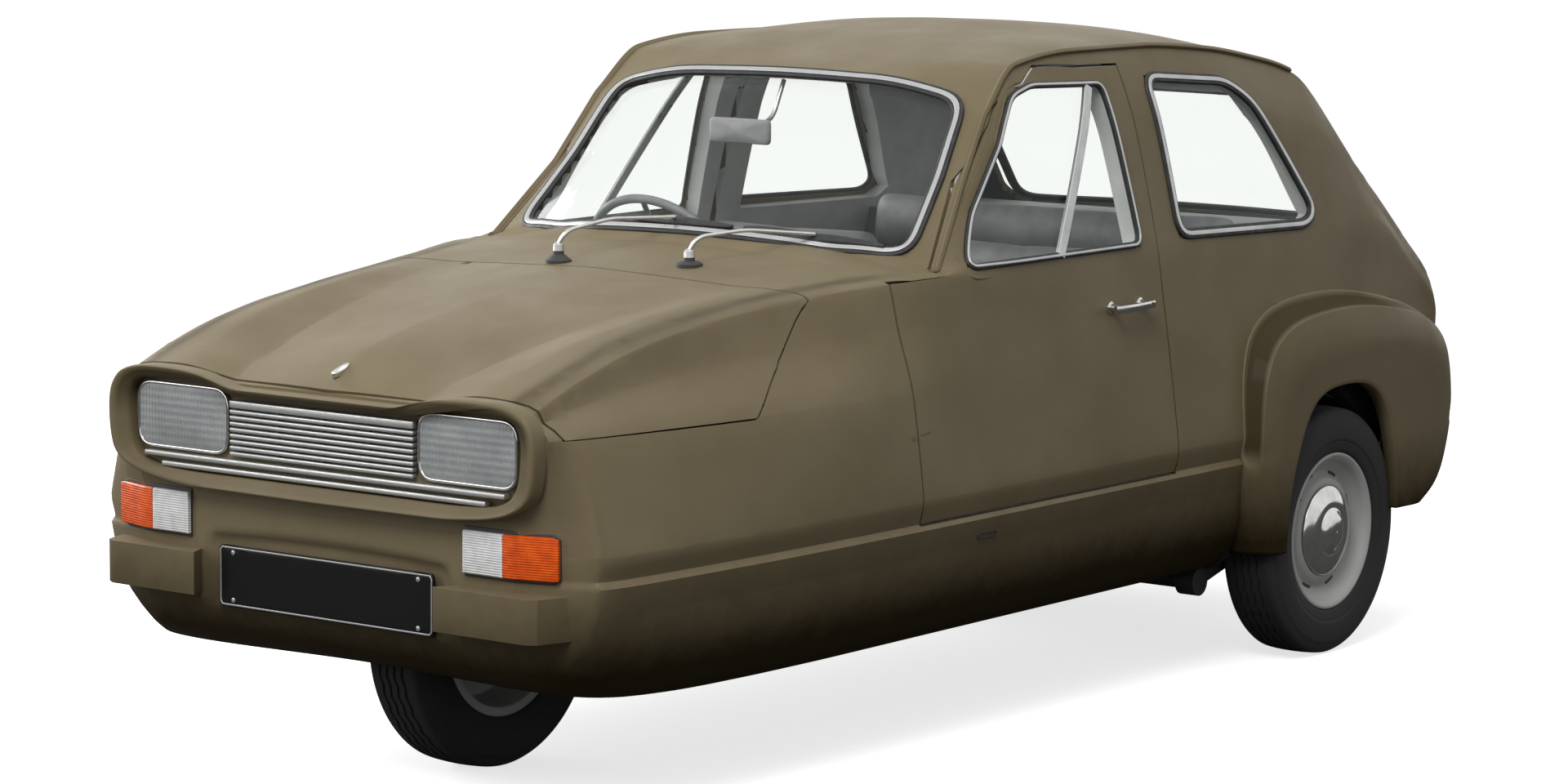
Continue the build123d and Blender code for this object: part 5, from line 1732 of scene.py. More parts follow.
# ---------------------------------------------------------------- wheels
@dataclass
class Wheel:
    """One road wheel: tyre with a zigzag tread, pressed rim and bright cap.

    Attributes:
        name: the wheel's body.
        prefix: start of its nodes' names.
        x, y: its place.
        out: +1 where its cap faces the car's left.
    """

    name: str
    prefix: str
    x: float
    y: float
    out: int
    radius: float = 0.266
    width: float = 0.134
    rim: float = 0.168
    disc: float = 0.018
    ribs: int = 5
    zigzags: int = 40
    steps: int = 72

    @property
    def centre(self) -> tuple[float, float, float]:
        """The wheel's centre."""
        return self.x, self.y, AXLE_Z

    def tyre(self) -> None:
        """The tyre: its section turned about the axle, with grooves that zigzag round the tread."""
        r, w = self.radius, self.width / 2
        f = self.rim
        side = rounded([(w - 0.0137, f - 0.011), (w - 0.0135, f + 0.001), (w - 0.007, f + 0.004),
                        (w - 0.0025, f + 0.022), (w - 0.0028, f + 0.026), (w, f + 0.030),
                        (w, f + 0.052), (w - 0.003, r - 0.026), (w - 0.0045, r - 0.024),
                        (w - 0.011, r - 0.007), (w - 0.018, r - 0.0028)], 0.006, 4, False)
        half = w - 0.022
        across = np.linspace(half, -half, 61)
        crown = r - 0.0022 * (across / half) ** 2
        phase = ((across / half + 1) / 2 * self.ribs) % 1
        groove = (np.minimum(phase, 1 - phase) < 0.11) & (np.abs(across) < half * 0.93)
        tread = np.stack([across, crown - 0.0055 * groove], -1)
        profile = np.vstack([side, tread, side[::-1] * np.array([-1, 1])])
        steps = self.zigzags * 4
        points, _ = turned(profile, (0, 0, 0), steps)
        wave = np.abs(np.linspace(0, self.zigzags, steps, endpoint=False) % 1 - 0.5) * 4 - 1
        middle = np.clip(1 - (np.abs(profile[:, 0]) / (half * 1.02)) ** 6, 0, 1)
        middle *= profile[:, 1] > r - 0.012
        points[..., 1] += 0.0022 * wave[:, None] * middle[None, :]
        faces = grid_faces(steps, len(profile), True, True)
        plain(self.prefix + "_tyre_rubber", (points + np.array(self.centre), faces), TYRE, self.name,
              self.prefix + "_tyre")

    def pressed_rim(self) -> None:
        """The rim: rolled flange, well and dished disc with a raised ring, all one turned section."""
        w, f, d = self.width / 2, self.rim, self.disc
        outline = [(-w + 0.009, f), (-w + 0.0137, f), (-w + 0.0137, f - 0.0113),
                   (w - 0.0137, f - 0.0113), (w - 0.0137, f + 0.0005), (w - 0.0095, f + 0.001),
                   (w - 0.0080, f - 0.003), (w - 0.0095, f - 0.008), (w - 0.016, f - 0.0155),
                   (0.040, f - 0.019), (0.034, f - 0.026), (d + 0.010, 0.134), (d + 0.005, 0.126),
                   (d + 0.008, 0.120), (d + 0.018, 0.112), (d + 0.022, 0.102), (d + 0.020, 0.094),
                   (d + 0.020, 0.052), (d + 0.020, 0.0145), (-0.028, 0.0145), (-0.028, 0.052),
                   (d + 0.014, 0.052), (d + 0.014, 0.090), (d, 0.126), (d, f - 0.030),
                   (-w + 0.010, f - 0.018)]
        shape = self.round_about(rounded(outline, 0.004, 4))
        plain(self.prefix + "_rim_steel", shape, RIM, self.name, self.prefix + "_rim")

    def round_about(self, profile: Array) -> tuple[Array, Array]:
        """A closed section, measured outwards from the wheel's middle, turned about the axle."""
        profile[:, 0] *= self.out
        points, _ = turned(profile, self.centre, self.steps)
        return points, grid_faces(self.steps, len(profile), True, True)

    def cap(self) -> None:
        """The bright cap: a shallow dome, a waist and a round middle, with a rolled edge."""
        a = self.disc + 0.0223
        outline = [(a, 0.096), (a + 0.003, 0.0975), (a + 0.006, 0.095), (a + 0.010, 0.086),
                   (a + 0.016, 0.068), (a + 0.0175, 0.056), (a + 0.0165, 0.050), (a + 0.019, 0.044),
                   (a + 0.026, 0.034), (a + 0.0295, 0.018), (a + 0.030, 0.0), (a + 0.0265, 0.0),
                   (a + 0.022, 0.034), (a + 0.012, 0.052), (a + 0.0065, 0.084), (a, 0.090)]
        profile = rounded(outline, 0.006, 5)
        profile[profile[:, 1] < 1e-4, 1] = 0.0
        plain(self.prefix + "_cap_chrome", self.round_about(profile), CHROME, self.name,
              self.prefix + "_hubcap", smooth=Smooth.ROUND)

    def fittings(self) -> None:
        """The tyre's valve, and eight thin black plates outside the cap, in place of the disc's slots:
        painted shade where the slots open on the dark inside.
        """
        turn = math.radians(35)
        y = self.disc * self.out + 0.006 * self.out
        foot = np.array(self.centre) + np.array([0.138 * math.cos(turn), y, 0.138 * math.sin(turn)])
        profile = np.array([(0, 0.0), (0, 0.005), (0.010, 0.0042), (0.020, 0.003), (0.022, 0.0)])
        valve = turned(profile * np.array([self.out, 1]), foot, 16)
        plain(self.prefix + "_valve", valve, SEAL, self.name)
        slots = []
        for k in range(8):
            angle = 2 * math.pi * (k + 0.5) / 8
            spread = np.linspace(-0.13, 0.13, 9)
            ring = np.concatenate([np.stack([0.131 + 0 * spread, angle + spread], -1),
                                   np.stack([0.1195 + 0 * spread, angle + spread[::-1]], -1)])
            radius, about = ring.T
            flat = rounded(np.stack([radius * np.cos(about), radius * np.sin(about)], -1), 0.004, 3)
            count = len(flat)
            foot_y = np.full(count, (self.disc + 0.0058) * self.out)
            place = np.stack([flat[:, 0], foot_y, flat[:, 1]], -1)
            lifted = place + np.array([0, 0.0012 * self.out, 0])
            rings = np.stack([place, lifted]) + np.array(self.centre)
            sides = grid_faces(2, count, False, True).tolist()
            slots.append((rings, sides + [list(range(count, 2 * count)), list(range(count))[::-1]]))
        # Black plates in place of holes: painted shade.
        plain(self.prefix + "_rim_slots", together(slots), BLACK, self.name, smooth=Smooth.FLAT)

    def build(self) -> None:
        """Builds the wheel."""
        self.tyre()
        self.pressed_rim()
        self.cap()
        self.fittings()


# ---------------------------------------------------------------- wings
@dataclass
class Wing:
    """A bulged wing over each rear wheel: a cove behind a raised edge, then the rounded bulge.

    The surface is a function of two parameters: how far along the wing's outer edge, and how far
    in from it. It stands off the body's flowing side by a height that depends on the distance in.

    Attributes:
        face: how far out the wing's face stands from the car's middle.
        grow: how far the outer edge is moved outwards.
        cove_width, cove_rise: the cove's width, and the share of the height that is reached in it.
        bulge_width: how far the rest of the height takes.
        columns: places along the edge.
        edge, mouth: the wing's outer edge and the wheel's opening, as millimetres ahead of the
            rear axle and up.
    """

    face: float = 0.691
    grow: float = 0.009
    cove_width: float = 0.036
    cove_rise: float = 0.80
    bulge_width: float = 0.110
    columns: int = 160
    edge: tuple[tuple[float, float], ...] = (
        (292, 250), (322, 350), (344, 457), (330, 614), (285, 712), (171, 763), (-67, 773),
        (-318, 735), (-440, 695), (-525, 640), (-552, 560), (-545, 440), (-505, 340), (-420, 296))
    mouth: tuple[tuple[float, float], ...] = (
        (236, 250), (228, 330), (212, 400), (186, 468), (158, 522), (122, 562), (70, 584), (-10, 590),
        (-95, 584), (-152, 556), (-192, 508), (-217, 450), (-234, 385), (-240, 330), (-236, 290))

    def path(self, corners: Sequence[tuple[float, float]], grow: float) -> Array:
        """An open outline with rounded corners, moved outwards, as evenly spaced flat points."""
        flat = np.array([(rear(x), z * MM) for x, z in corners])
        way = unit(np.gradient(flat, axis=0))
        flat = flat + np.stack([way[:, 1], -way[:, 0]], -1) * grow
        return resample(rounded(flat, 0.11, 8, False), self.columns)

    def surface(self) -> tuple[Array, Array, Array]:
        """The left wing's points, faces and the painted shade in the cove at each point."""
        outer, inner = self.path(self.edge, self.grow), self.path(self.mouth, -0.003)
        reach = np.linalg.norm(inner - outer, axis=1)
        steps = np.concatenate([[0, 0.002, 0.005, 0.009],
                                np.linspace(0.014, 1.0, 9)[:-1] * self.cove_width,
                                self.cove_width + np.array([0.0, 0.002, 0.005])])
        tail = np.linspace(0, 1, 26)[1:]
        scale = np.minimum(1.0, reach / 0.15)[None, :]
        near = steps[:, None] * scale / reach[None, :]
        far = near[-1] + (1 - near[-1]) * tail[:, None] ** 1.25
        share = np.vstack([near, far])
        flat = outer[None] + share[..., None] * (inner - outer)[None]
        gap = share * reach[None, :] / scale
        x, z = flat[..., 0], flat[..., 1]
        skin = FORM.on_side(x.ravel(), z.ravel())[0][:, 1].reshape(x.shape)
        tuck = ramp(x, rear(-380), -0.19) ** 1.5 * 0.03
        full = np.maximum(self.face - tuck - skin, 0.004)
        fade = ramp(x, rear(-520), 0.30) * ramp(z, 0.43, 0.05)
        within = ramp(gap, 0.005, self.cove_width - 0.005)
        lip = 0.0035 * np.exp(-((gap - 0.004) / 0.004) ** 2)
        beyond = ramp(gap, self.cove_width, self.bulge_width)
        swell = self.cove_rise * within**1.7 + (1 - self.cove_rise) * np.sin(beyond * math.pi / 2)
        plain_rise = ramp(gap, 0.0, self.cove_width + 0.09)
        swell = swell * fade + np.sqrt(1 - (1 - plain_rise) ** 2.2) * (1 - fade)
        height = full * swell + lip - 0.0012 * (gap < 0.001)
        points = np.stack([x, skin + height, z], -1)
        way = unit(inner - outer)
        inwards = np.stack([way[:, 0], np.zeros(self.columns), way[:, 1]], -1)
        turned_in = [points[-1] + np.array([0, -d, 0]) + inwards * e
                     for d, e in ((0.001, 0.0012), (0.0035, 0.0022), (0.030, 0.0024))]
        points = np.concatenate([points, turned_in])
        # Painted shade along the cove behind the raised edge.
        band = ramp(gap, 0.006, 0.006) * ramp(gap, self.cove_width, -0.004) * fade
        shade = np.concatenate([band * 0.74, np.zeros((3, self.columns))])
        return points, grid_faces(len(points), self.columns), shade

    def build(self) -> None:
        """Builds both wings."""
        points, faces, shade = self.surface()
        for side, shape in (("left", points), ("right", mirrored(points))):
            piece = Piece(f"wing_{side}", shape, faces).paint_shade(shade.ravel())
            mesh = piece.object.data
            work = bmesh.new()
            work.from_mesh(mesh)
            bmesh.ops.recalc_face_normals(work, faces=work.faces)
            middle = sum((face.normal[1] * face.calc_area() for face in work.faces))
            if (middle < 0) == (side == "left"):
                bmesh.ops.reverse_faces(work, faces=work.faces)
            work.to_mesh(mesh)
            work.free()
            mesh.shade_smooth()
            mesh.set_sharp_from_angle(angle=math.radians(50))
            wall = piece.object.modifiers.new("wall", "SOLIDIFY")
            wall.thickness = 0.003
            wall.offset = -1.0
            piece.dress(PAINT).ride("body")


# ---------------------------------------------------------------- sides
@dataclass
class Sides:
    """Door handles and the jacking marks."""

    handle_z: float = 0.808

    def handle(self, side: str, flip: bool) -> None:
        """A bright pull handle on two feet, with its push button."""
        z = self.handle_z
        y = FORM.on_side([rear(684), rear(808)], [z, z - 0.002])[0][:, 1]
        t = np.linspace(0, 1, 30)
        bow = [rear(678) + t * 0.140, y[0] + 0.021 + 0.005 * np.sin(math.pi * t), z - 0.002 * t]
        grip = sweep(np.stack(bow, -1), (0, 1.0, 0), bar_profile(0.016, 0.009, 0.004))
        foot = [(-0.002, 0.0), (-0.002, 0.013), (0.003, 0.013), (0.006, 0.009), (0.020, 0.007),
                (0.020, 0.0)]
        feet = [turned(foot, (x, own, z), 24) for x, own in zip((rear(692), rear(800)), y)]
        push = [(0.022, 0.0), (0.022, 0.0075), (0.031, 0.0075), (0.0325, 0.006), (0.033, 0.0)]
        button = turned(push, (rear(692), y[0], z), 24)
        plain(f"door_handle_{side}", together([grip, *feet, button]), CHROME, f"door_{side}",
              f"door_trim_{side}", flip=flip)

    def jack_point(self) -> None:
        """A dark ring on the sill under each door: painted shade round the edge of a short pressed mark.
        """
        flat = rectangle(front(-760), 0.408, front(-700), 0.418)
        path = resample(rounded(flat, 0.004, 4), 60, True)
        places, out = FORM.on_side(path[:, 0], path[:, 1])
        mark = sweep(places, out, bar_profile(0.003, 0.002, 0.0006), closed=True)
        # Painted shade of the pressed mark's edge.
        both_sides("jack_mark", mark, CHASSIS)

    def build(self) -> None:
        """Builds both sides."""
        for side, flip in (("left", False), ("right", True)):
            self.handle(side, flip)
        self.jack_point()


def copied(node: str, finish: Finish, body: str, bevel: float = 0.002) -> Piece:
    """A piece like a CAD node, merged, with soft edges and its finish.

    Args:
        node: the node.
        finish: its finish.
        body: the body that it rides on.
        bevel: rounding of its edges in metres.

    Returns:
        The piece.
    """
    piece = Piece(node + "_made", *arrays_of(merged(node, 0.5)))
    piece.object.data.shade_smooth()
    piece.object.data.set_sharp_from_angle(angle=math.radians(34))
    if bevel:
        piece.bevel(bevel)
    return piece.dress(finish).ride(body, node)


# ---------------------------------------------------------------- cabin
@dataclass
class Pad:
    """A stuffed vinyl pad: a pillow that swells under its own pressure, then gets its sewn pleats.

    Attributes:
        name: the piece's name.
        low, high: its corners in its own plane, in metres: along, across and through.
        lean: how far its plane leans back from level, in radians.
        foot: where its plane's origin lies.
        pleats: pleats across its face, or 0.
        finish: its cover.
        replaced: the node that it stands for, if it is the first of that node's pads.
        swell: the furthest that a point may move.
        voxel: size of its mesh's cells.
        corner: radius of its corners.
        pressure, frames: the cloth's pressure, and for how many frames it acts.
    """

    name: str
    low: tuple[float, float, float]
    high: tuple[float, float, float]
    lean: float
    foot: tuple[float, float, float]
    pleats: int
    finish: Finish
    replaced: str = ""
    swell: float = 0.012
    voxel: float = 0.013
    corner: float = 0.030
    pressure: float = 4.0
    frames: int = 20

    def placed(self, flat: Array) -> Array:
        """Points of the pad's own plane, put in place."""
        along, across, through = flat[:, 0], flat[:, 1], flat[:, 2]
        c, s = math.cos(self.lean), math.sin(self.lean)
        return np.stack([self.foot[0] + along * c - through * s, self.foot[1] + across,
                         self.foot[2] + along * s + through * c], -1)

    def even(self, piece: Piece) -> Array:
        """Gives the piece an even mesh, and returns its points in one row."""
        obj = piece.object
        remesh = obj.modifiers.new("even", "REMESH")
        remesh.mode = "VOXEL"
        remesh.voxel_size = self.voxel
        graph = bpy.context.evaluated_depsgraph_get()
        mesh = bpy.data.meshes.new_from_object(obj.evaluated_get(graph))
        obj.modifiers.clear()
        obj.data = mesh
        start = np.empty(len(mesh.vertices) * 3)
        mesh.vertices.foreach_get("co", start)
        return start

    def swollen(self, piece: Piece, start: Array) -> Array:
        """Runs the cloth under pressure and gives back where each point ends, capped.

        Args:
            piece: the pad, with its even mesh.
            start: its points in one row.

        Returns:
            The points.
        """
        obj = piece.object
        scene = bpy.context.scene
        cloth = obj.modifiers.new("cloth", "CLOTH")
        cloth.settings.quality = 4
        cloth.settings.use_pressure = True
        cloth.settings.uniform_pressure_force = self.pressure
        cloth.settings.effector_weights.gravity = 0.0
        cloth.point_cache.frame_start, cloth.point_cache.frame_end = 1, self.frames
        for step in range(1, self.frames + 1):
            scene.frame_set(step)
        graph = bpy.context.evaluated_depsgraph_get()
        end = np.empty_like(start)
        obj.evaluated_get(graph).data.vertices.foreach_get("co", end)
        obj.modifiers.clear()
        scene.frame_set(1)
        move = (end - start).reshape(-1, 3)
        far = np.linalg.norm(move, axis=1, keepdims=True)
        return start.reshape(-1, 3) + move * np.minimum(1.0, self.swell / np.maximum(far, 1e-9))

    def build(self) -> Piece:
        """Builds the pad and fixes it to the car's body."""
        inset = 0.6 * self.swell
        low, high = np.array(self.low) + inset, np.array(self.high) - inset
        piece = Piece(self.name, *pillow_box(low, high, self.corner, 7)).tidy(Smooth.ROUND)
        start = self.even(piece)
        flat = self.swollen(piece, start)
        middle, half = (low + high) / 2, (high - low) / 2
        a, b, c = ((flat - middle) / half).T
        if self.pleats:
            lane = np.abs(((b + 0.84) / 1.68 * self.pleats) % 1 - 0.5) * 2
            sewn = ramp(lane, 0.72, 0.28) ** 1.5
            face = ramp(np.abs(b), 0.86, -0.03) * ramp(np.abs(a), 0.84, -0.05)
            welt = np.exp(-((np.maximum(np.abs(a) / 0.88, np.abs(b) / 0.88) - 1) / 0.03) ** 2)
            flat[:, 2] -= (0.006 * sewn * face + 0.004 * welt) * ramp(c, 0, 0.5)
        mesh = piece.object.data
        mesh.vertices.foreach_set("co", self.placed(flat).ravel())
        mesh.update()
        mesh.shade_smooth()
        finer = piece.object.modifiers.new("finer", "SUBSURF")
        finer.levels = finer.render_levels = 1
        piece.dress(self.finish)
        return piece.ride("body", *([self.replaced] if self.replaced else []))


@dataclass
class Cabin:
    """Seats, dashboard, steering wheel, mirror, lever and pedals."""

    dash_face: float = rear(1300)
    wheel_centre: tuple[float, float, float] = (rear(1055), -0.313, 0.830)
    wheel_radius: float = 0.190
    column_tilt: float = 30.0

    def seats(self) -> None:
        """Two front seats and a bench, each a cushion and a pleated back with a darker head band."""
        lean, foot = math.radians(97.5), (rear(765), 0, 0.418)
        for side, y0, y1 in (("left", 0.060, 0.520), ("right", -0.520, -0.060)):
            first = "front_seats" if side == "left" else ""
            Pad(f"front_cushion_{side}", (0, y0, 0), (0.40, y1, 0.105), math.radians(3.5),
                (rear(752), 0, 0.334), 9, VINYL, first).build()
            Pad(f"front_back_{side}", (0, y0, 0.0), (0.395, y1, 0.078), lean, foot, 9, VINYL).build()
            Pad(f"front_head_{side}", (0.402, y0, 0.0), (0.508, y1, 0.080), lean, foot, 0,
                DARK_VINYL, corner=0.036).build()
        lean, foot, y = math.radians(99.0), (rear(220), 0, 0.395), 0.476
        Pad("rear_cushion", (0, -y, 0), (0.300, y, 0.130), math.radians(4.5),
            (rear(228), 0, 0.262), 16, VINYL, "rear_seat").build()
        Pad("rear_back", (0, -y, 0), (0.420, y, 0.085), lean, foot, 16, VINYL).build()
        Pad("rear_head", (0.425, -0.474, 0), (0.560, 0.474, 0.080), lean, foot, 0, DARK_VINYL).build()

    def dashboard(self) -> None:
        """The moulded dashboard with its padded rail, four dials and a row of knobs."""
        copied("dashboard", DARK_VINYL, "body", 0.006)
        rims, faces, needles = [], [], []
        x, z = self.dash_face, 0.826
        for y, r in ((-0.375, 0.040), (-0.255, 0.040), (-0.165, 0.022), (-0.110, 0.022)):
            rim = [(-0.001, r * 0.86), (-0.008, r * 0.9), (-0.010, r * 0.97), (-0.008, r), (0.002, r)]
            rims.append(turned(rim, (x, y, z), 40, "X"))
            face = [(-0.0035, 0.0), (-0.0035, r * 0.9), (0.001, r * 0.9)]
            faces.append(turned(face, (x, y, z), 40, "X"))
            needles.append(pillow_box((x - 0.006, y - 0.0012, z - r * 0.1),
                                      (x - 0.0042, y + 0.0012, z + r * 0.7), 0.0006, 3))
            boss = [(-0.0065, 0.0), (-0.0065, r * 0.12), (-0.0035, r * 0.12)]
            needles.append(turned(boss, (x, y, z), 16, "X"))
        plain("dial_rims", together(rims), CHROME, "body")
        plain("dial_faces", together(faces), DIAL, "body")
        plain("dial_needles", together(needles), REFLECTOR, "body")
        knob = [(0.0, 0.006), (-0.012, 0.005), (-0.014, 0.009), (-0.022, 0.009), (-0.024, 0.0)]
        knobs = [turned(knob, (x, y, 0.800), 20, "X") for y in (-0.06, -0.03, 0.0, 0.03)]
        plain("dash_knobs", together(knobs), BLACK, "body")
        rail = np.array([(x + 0.004, y, 0.852) for y in np.linspace(-0.50, 0.50, 60)])
        plain("dash_rail", sweep(rail, (0, 0, 1.0), round_profile(0.013, 14)), VINYL, "body")

    def steering(self) -> None:
        """A thin-rimmed wheel with three flat spokes and a round horn push, and its column."""
        tilt = math.radians(self.column_tilt)
        axis = np.array([-math.cos(tilt), 0, math.sin(tilt)])
        side = np.array([0.0, 1.0, 0.0])
        up = np.cross(side, axis)
        up = up if up[2] > 0 else -up
        centre = np.array(self.wheel_centre)

        def around(angle: Array, radius: float | Array) -> Array:
            """Points on the wheel's plane."""
            angle = np.asarray(angle, float)
            radius = np.broadcast_to(radius, angle.shape)[:, None]
            return centre + radius * (np.cos(angle)[:, None] * side + np.sin(angle)[:, None] * up)

        ring = around(np.linspace(0, 2 * math.pi, 120, endpoint=False), self.wheel_radius)
        points, faces = sweep(ring, axis, round_profile(0.0095, 14), closed=True)
        plain("steering_rim", (points, faces), DARK_VINYL, "steering_wheel", "steering_wheel")
        spokes = []
        for angle in (-150, -30, 90):
            a = math.radians(angle)
            r = np.linspace(0.022, self.wheel_radius - 0.004, 12)
            spoke = around(np.full(12, a), r) + axis * (0.008 * (1 - r / self.wheel_radius))[:, None]
            spokes.append(sweep(spoke, axis, bar_profile(0.014, 0.004, 0.0015)))
        plain("steering_spokes", together(spokes), DULL_METAL, "steering_wheel")
        hub = [(-0.030, 0.0), (-0.030, 0.022), (0.004, 0.030), (0.010, 0.030), (0.014, 0.026),
               (0.016, 0.0)]
        turn = np.linspace(0, 2 * math.pi, 40, endpoint=False)[:, None]
        layers = np.stack([centre + axis * d + r * (np.cos(turn) * side + np.sin(turn) * up)
                           for d, r in hub])
        plain("steering_boss", (layers, grid_faces(len(hub), 40, False, True)), BLACK, "steering_wheel")
        copied("steering_column", BLACK, "body", 0.001)

    def mirror(self) -> None:
        """The mirror: a padded back, its glass towards the driver, and the stem up to the roof."""
        x = rear(1197)
        flat = rounded(rectangle(-0.095, 1.126, 0.055, 1.176), 0.010, 6)
        shell = slab(resample(flat, 80, True), facing_x(x), (0.010, 0, 0), 0.006, 0.004)
        plain("mirror_back", shell, DARK_VINYL, "body", "interior_mirror")
        glass = resample(flat.mean(0) + (flat - flat.mean(0)) * 0.94, 80, True)[::-1]
        plain("mirror_glass", slab(glass, facing_x(x), (-0.0025, 0, 0), 0.001), CHROME, "body")
        stem = [(x + 0.004, -0.02, 1.152), (rear(1150), -0.02, 1.158), (rear(1095), -0.02, 1.168),
                (rear(1072), -0.02, 1.215), (rear(1056), -0.02, 1.247)]
        path = resample(rounded(stem, 0.03, 8, False), 40)
        plain("mirror_stem", sweep(path, (0, 1.0, 0), round_profile(0.0048, 12)), DULL_METAL, "body")

    def controls(self) -> None:
        """The gear lever with its gaiter, and three pedals with ribbed rubbers."""
        copied("controls", BLACK, "body", 0.001)
        folds = [(0.247 + 0.008 * k, 0.058 - 0.0052 * k + (0.004 if k % 2 else 0.0))
                 for k in range(10)]
        gaiter = turned([(0.247, 0.0), *folds, (0.330, 0.009)], (rear(1240), 0, 0), 36, "Z")
        plain("lever_gaiter", gaiter, SEAL, "body", smooth=Smooth.ROUND)
        ribs = [pillow_box((rear(1520) - 0.004, y - 0.026, 0.334 + 0.011 * k),
                           (rear(1520) + 0.001, y + 0.026, 0.340 + 0.011 * k), 0.002, 3)
                for y in (-0.240, -0.370, -0.440) for k in range(6)]
        plain("pedal_rubbers", together(ribs), SEAL, "body")

    def build(self) -> None:
        """Builds the cabin."""
        self.seats()
        self.dashboard()
        self.steering()
        self.mirror()
        self.controls()
        copied("seat_frames", CHASSIS, "body", 0.002)
        copied("rear_panel", DARK_VINYL, "body", 0.003)
        copied("bulkhead", LINING, "body", 0.001)


# ---------------------------------------------------------------- tail
@dataclass
class Tail:
    """Tail lamps, the rear plate with its lamp, and the engine lid's louvres and catch."""

    tail_x: float = rear(-572)
    lamp_y: tuple[float, float] = (0.440, 0.540)
    lamp_z: tuple[float, float] = (0.500, 0.620)

    def lamps(self) -> None:
        """A chrome frame on each side, with a red lens over an amber one."""
        (y0, y1), (z0, z1) = self.lamp_y, self.lamp_z
        split = z0 + 0.38 * (z1 - z0)
        outline = resample(rounded(rectangle(y0, z0, y1, z1), 0.012, 6), 100, True)
        base = slab(outline[::-1], facing_x(self.tail_x - 0.0003), (-0.009, 0, 0), 0.003)
        both_sides("tail_lamp_base", base, CHROME, "tail_lamps")
        for name, low, high, finish in (("red", split + 0.002, z1 - 0.006, RED),
                                        ("amber", z0 + 0.006, split - 0.002, AMBER)):
            flat = rectangle(y0 + 0.006, low, y1 - 0.006, high)
            flat = resample(rounded(flat, 0.008, 5), 80, True)[::-1]
            lens = slab(flat, facing_x(self.tail_x - 0.006), (-0.011, 0, 0), 0.005, 0.003)
            both_sides(f"tail_lens_{name}", lens, finish)

    def plate(self) -> None:
        """A blank plate with a pale border, and a small hooded lamp over it."""
        (_, y0, z0), (x, y1, z1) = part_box("rear_plate")
        path = resample(rounded(rectangle(y0, z0, y1, z1), 0.006, 5), 140, True)
        face = slab(path[::-1], facing_x(x), (-0.0045, 0, 0), 0.001)
        plain("rear_plate_face", face, PLATE, "engine_lid", "rear_plate")
        middle = path.mean(0)
        inset = middle + (path - middle) * np.array([1 - 0.010 / (y1 - y0), 1 - 0.010 / (z1 - z0)])
        border = sweep(facing_x(x - 0.004)(inset), (-1.0, 0, 0), PLATE_BORDER, True)
        plain("rear_plate_border", border, TRIM, "engine_lid")
        hood = np.array([(x - 0.004, y, z1 + 0.022) for y in np.linspace(-0.045, 0.045, 20)])
        lamp = sweep(hood, (0, 0, 1.0), round_profile(0.011, 14))
        plain("plate_lamp", lamp, CHROME, "engine_lid")

    def louvres(self) -> None:
        """Two banks of pressed cooling louvres, with dark plates under the fins as painted shade of the
        openings, and a turning catch in the engine lid.
        """
        fins, slots = [], []
        for y0, y1 in ((-0.33, -0.10), (0.10, 0.33)):
            for k in range(6):
                z = 0.688 + 0.018 * k
                t = np.linspace(0, 1, 16)
                x = self.tail_x - 0.0015 - 0.006 * np.sin(math.pi * t) ** 0.35
                path = np.stack([x, y0 + t * (y1 - y0), np.full(16, z)], -1)
                fins.append(sweep(path, (-0.8, 0, 0.6), bar_profile(0.010, 0.0022, 0.0008)))
                slots.append(pillow_box((self.tail_x - 0.0012, y0 + 0.006, z - 0.010),
                                        (self.tail_x + 0.001, y1 - 0.006, z - 0.004), 0.0006, 3))
        plain("lid_louvres", together(fins), PAINT, "engine_lid")
        # Dark plates under the fins: painted shade of the louvres' openings.
        plain("lid_louvre_slots", together(slots), CHASSIS, "engine_lid")
        stem = [(0.0, 0.012), (-0.004, 0.012), (-0.006, 0.007), (-0.014, 0.006), (-0.014, 0.0)]
        handle = [turned(stem, (self.tail_x, 0.0, 0.466), 24, "X"),
                  pillow_box((self.tail_x - 0.019, -0.026, 0.461),
                             (self.tail_x - 0.012, 0.026, 0.471), 0.003, 4)]
        plain("lid_catch", together(handle), CHROME, "engine_lid")

    def build(self) -> None:
        """Builds the tail."""
        self.lamps()
        self.plate()
        self.louvres()


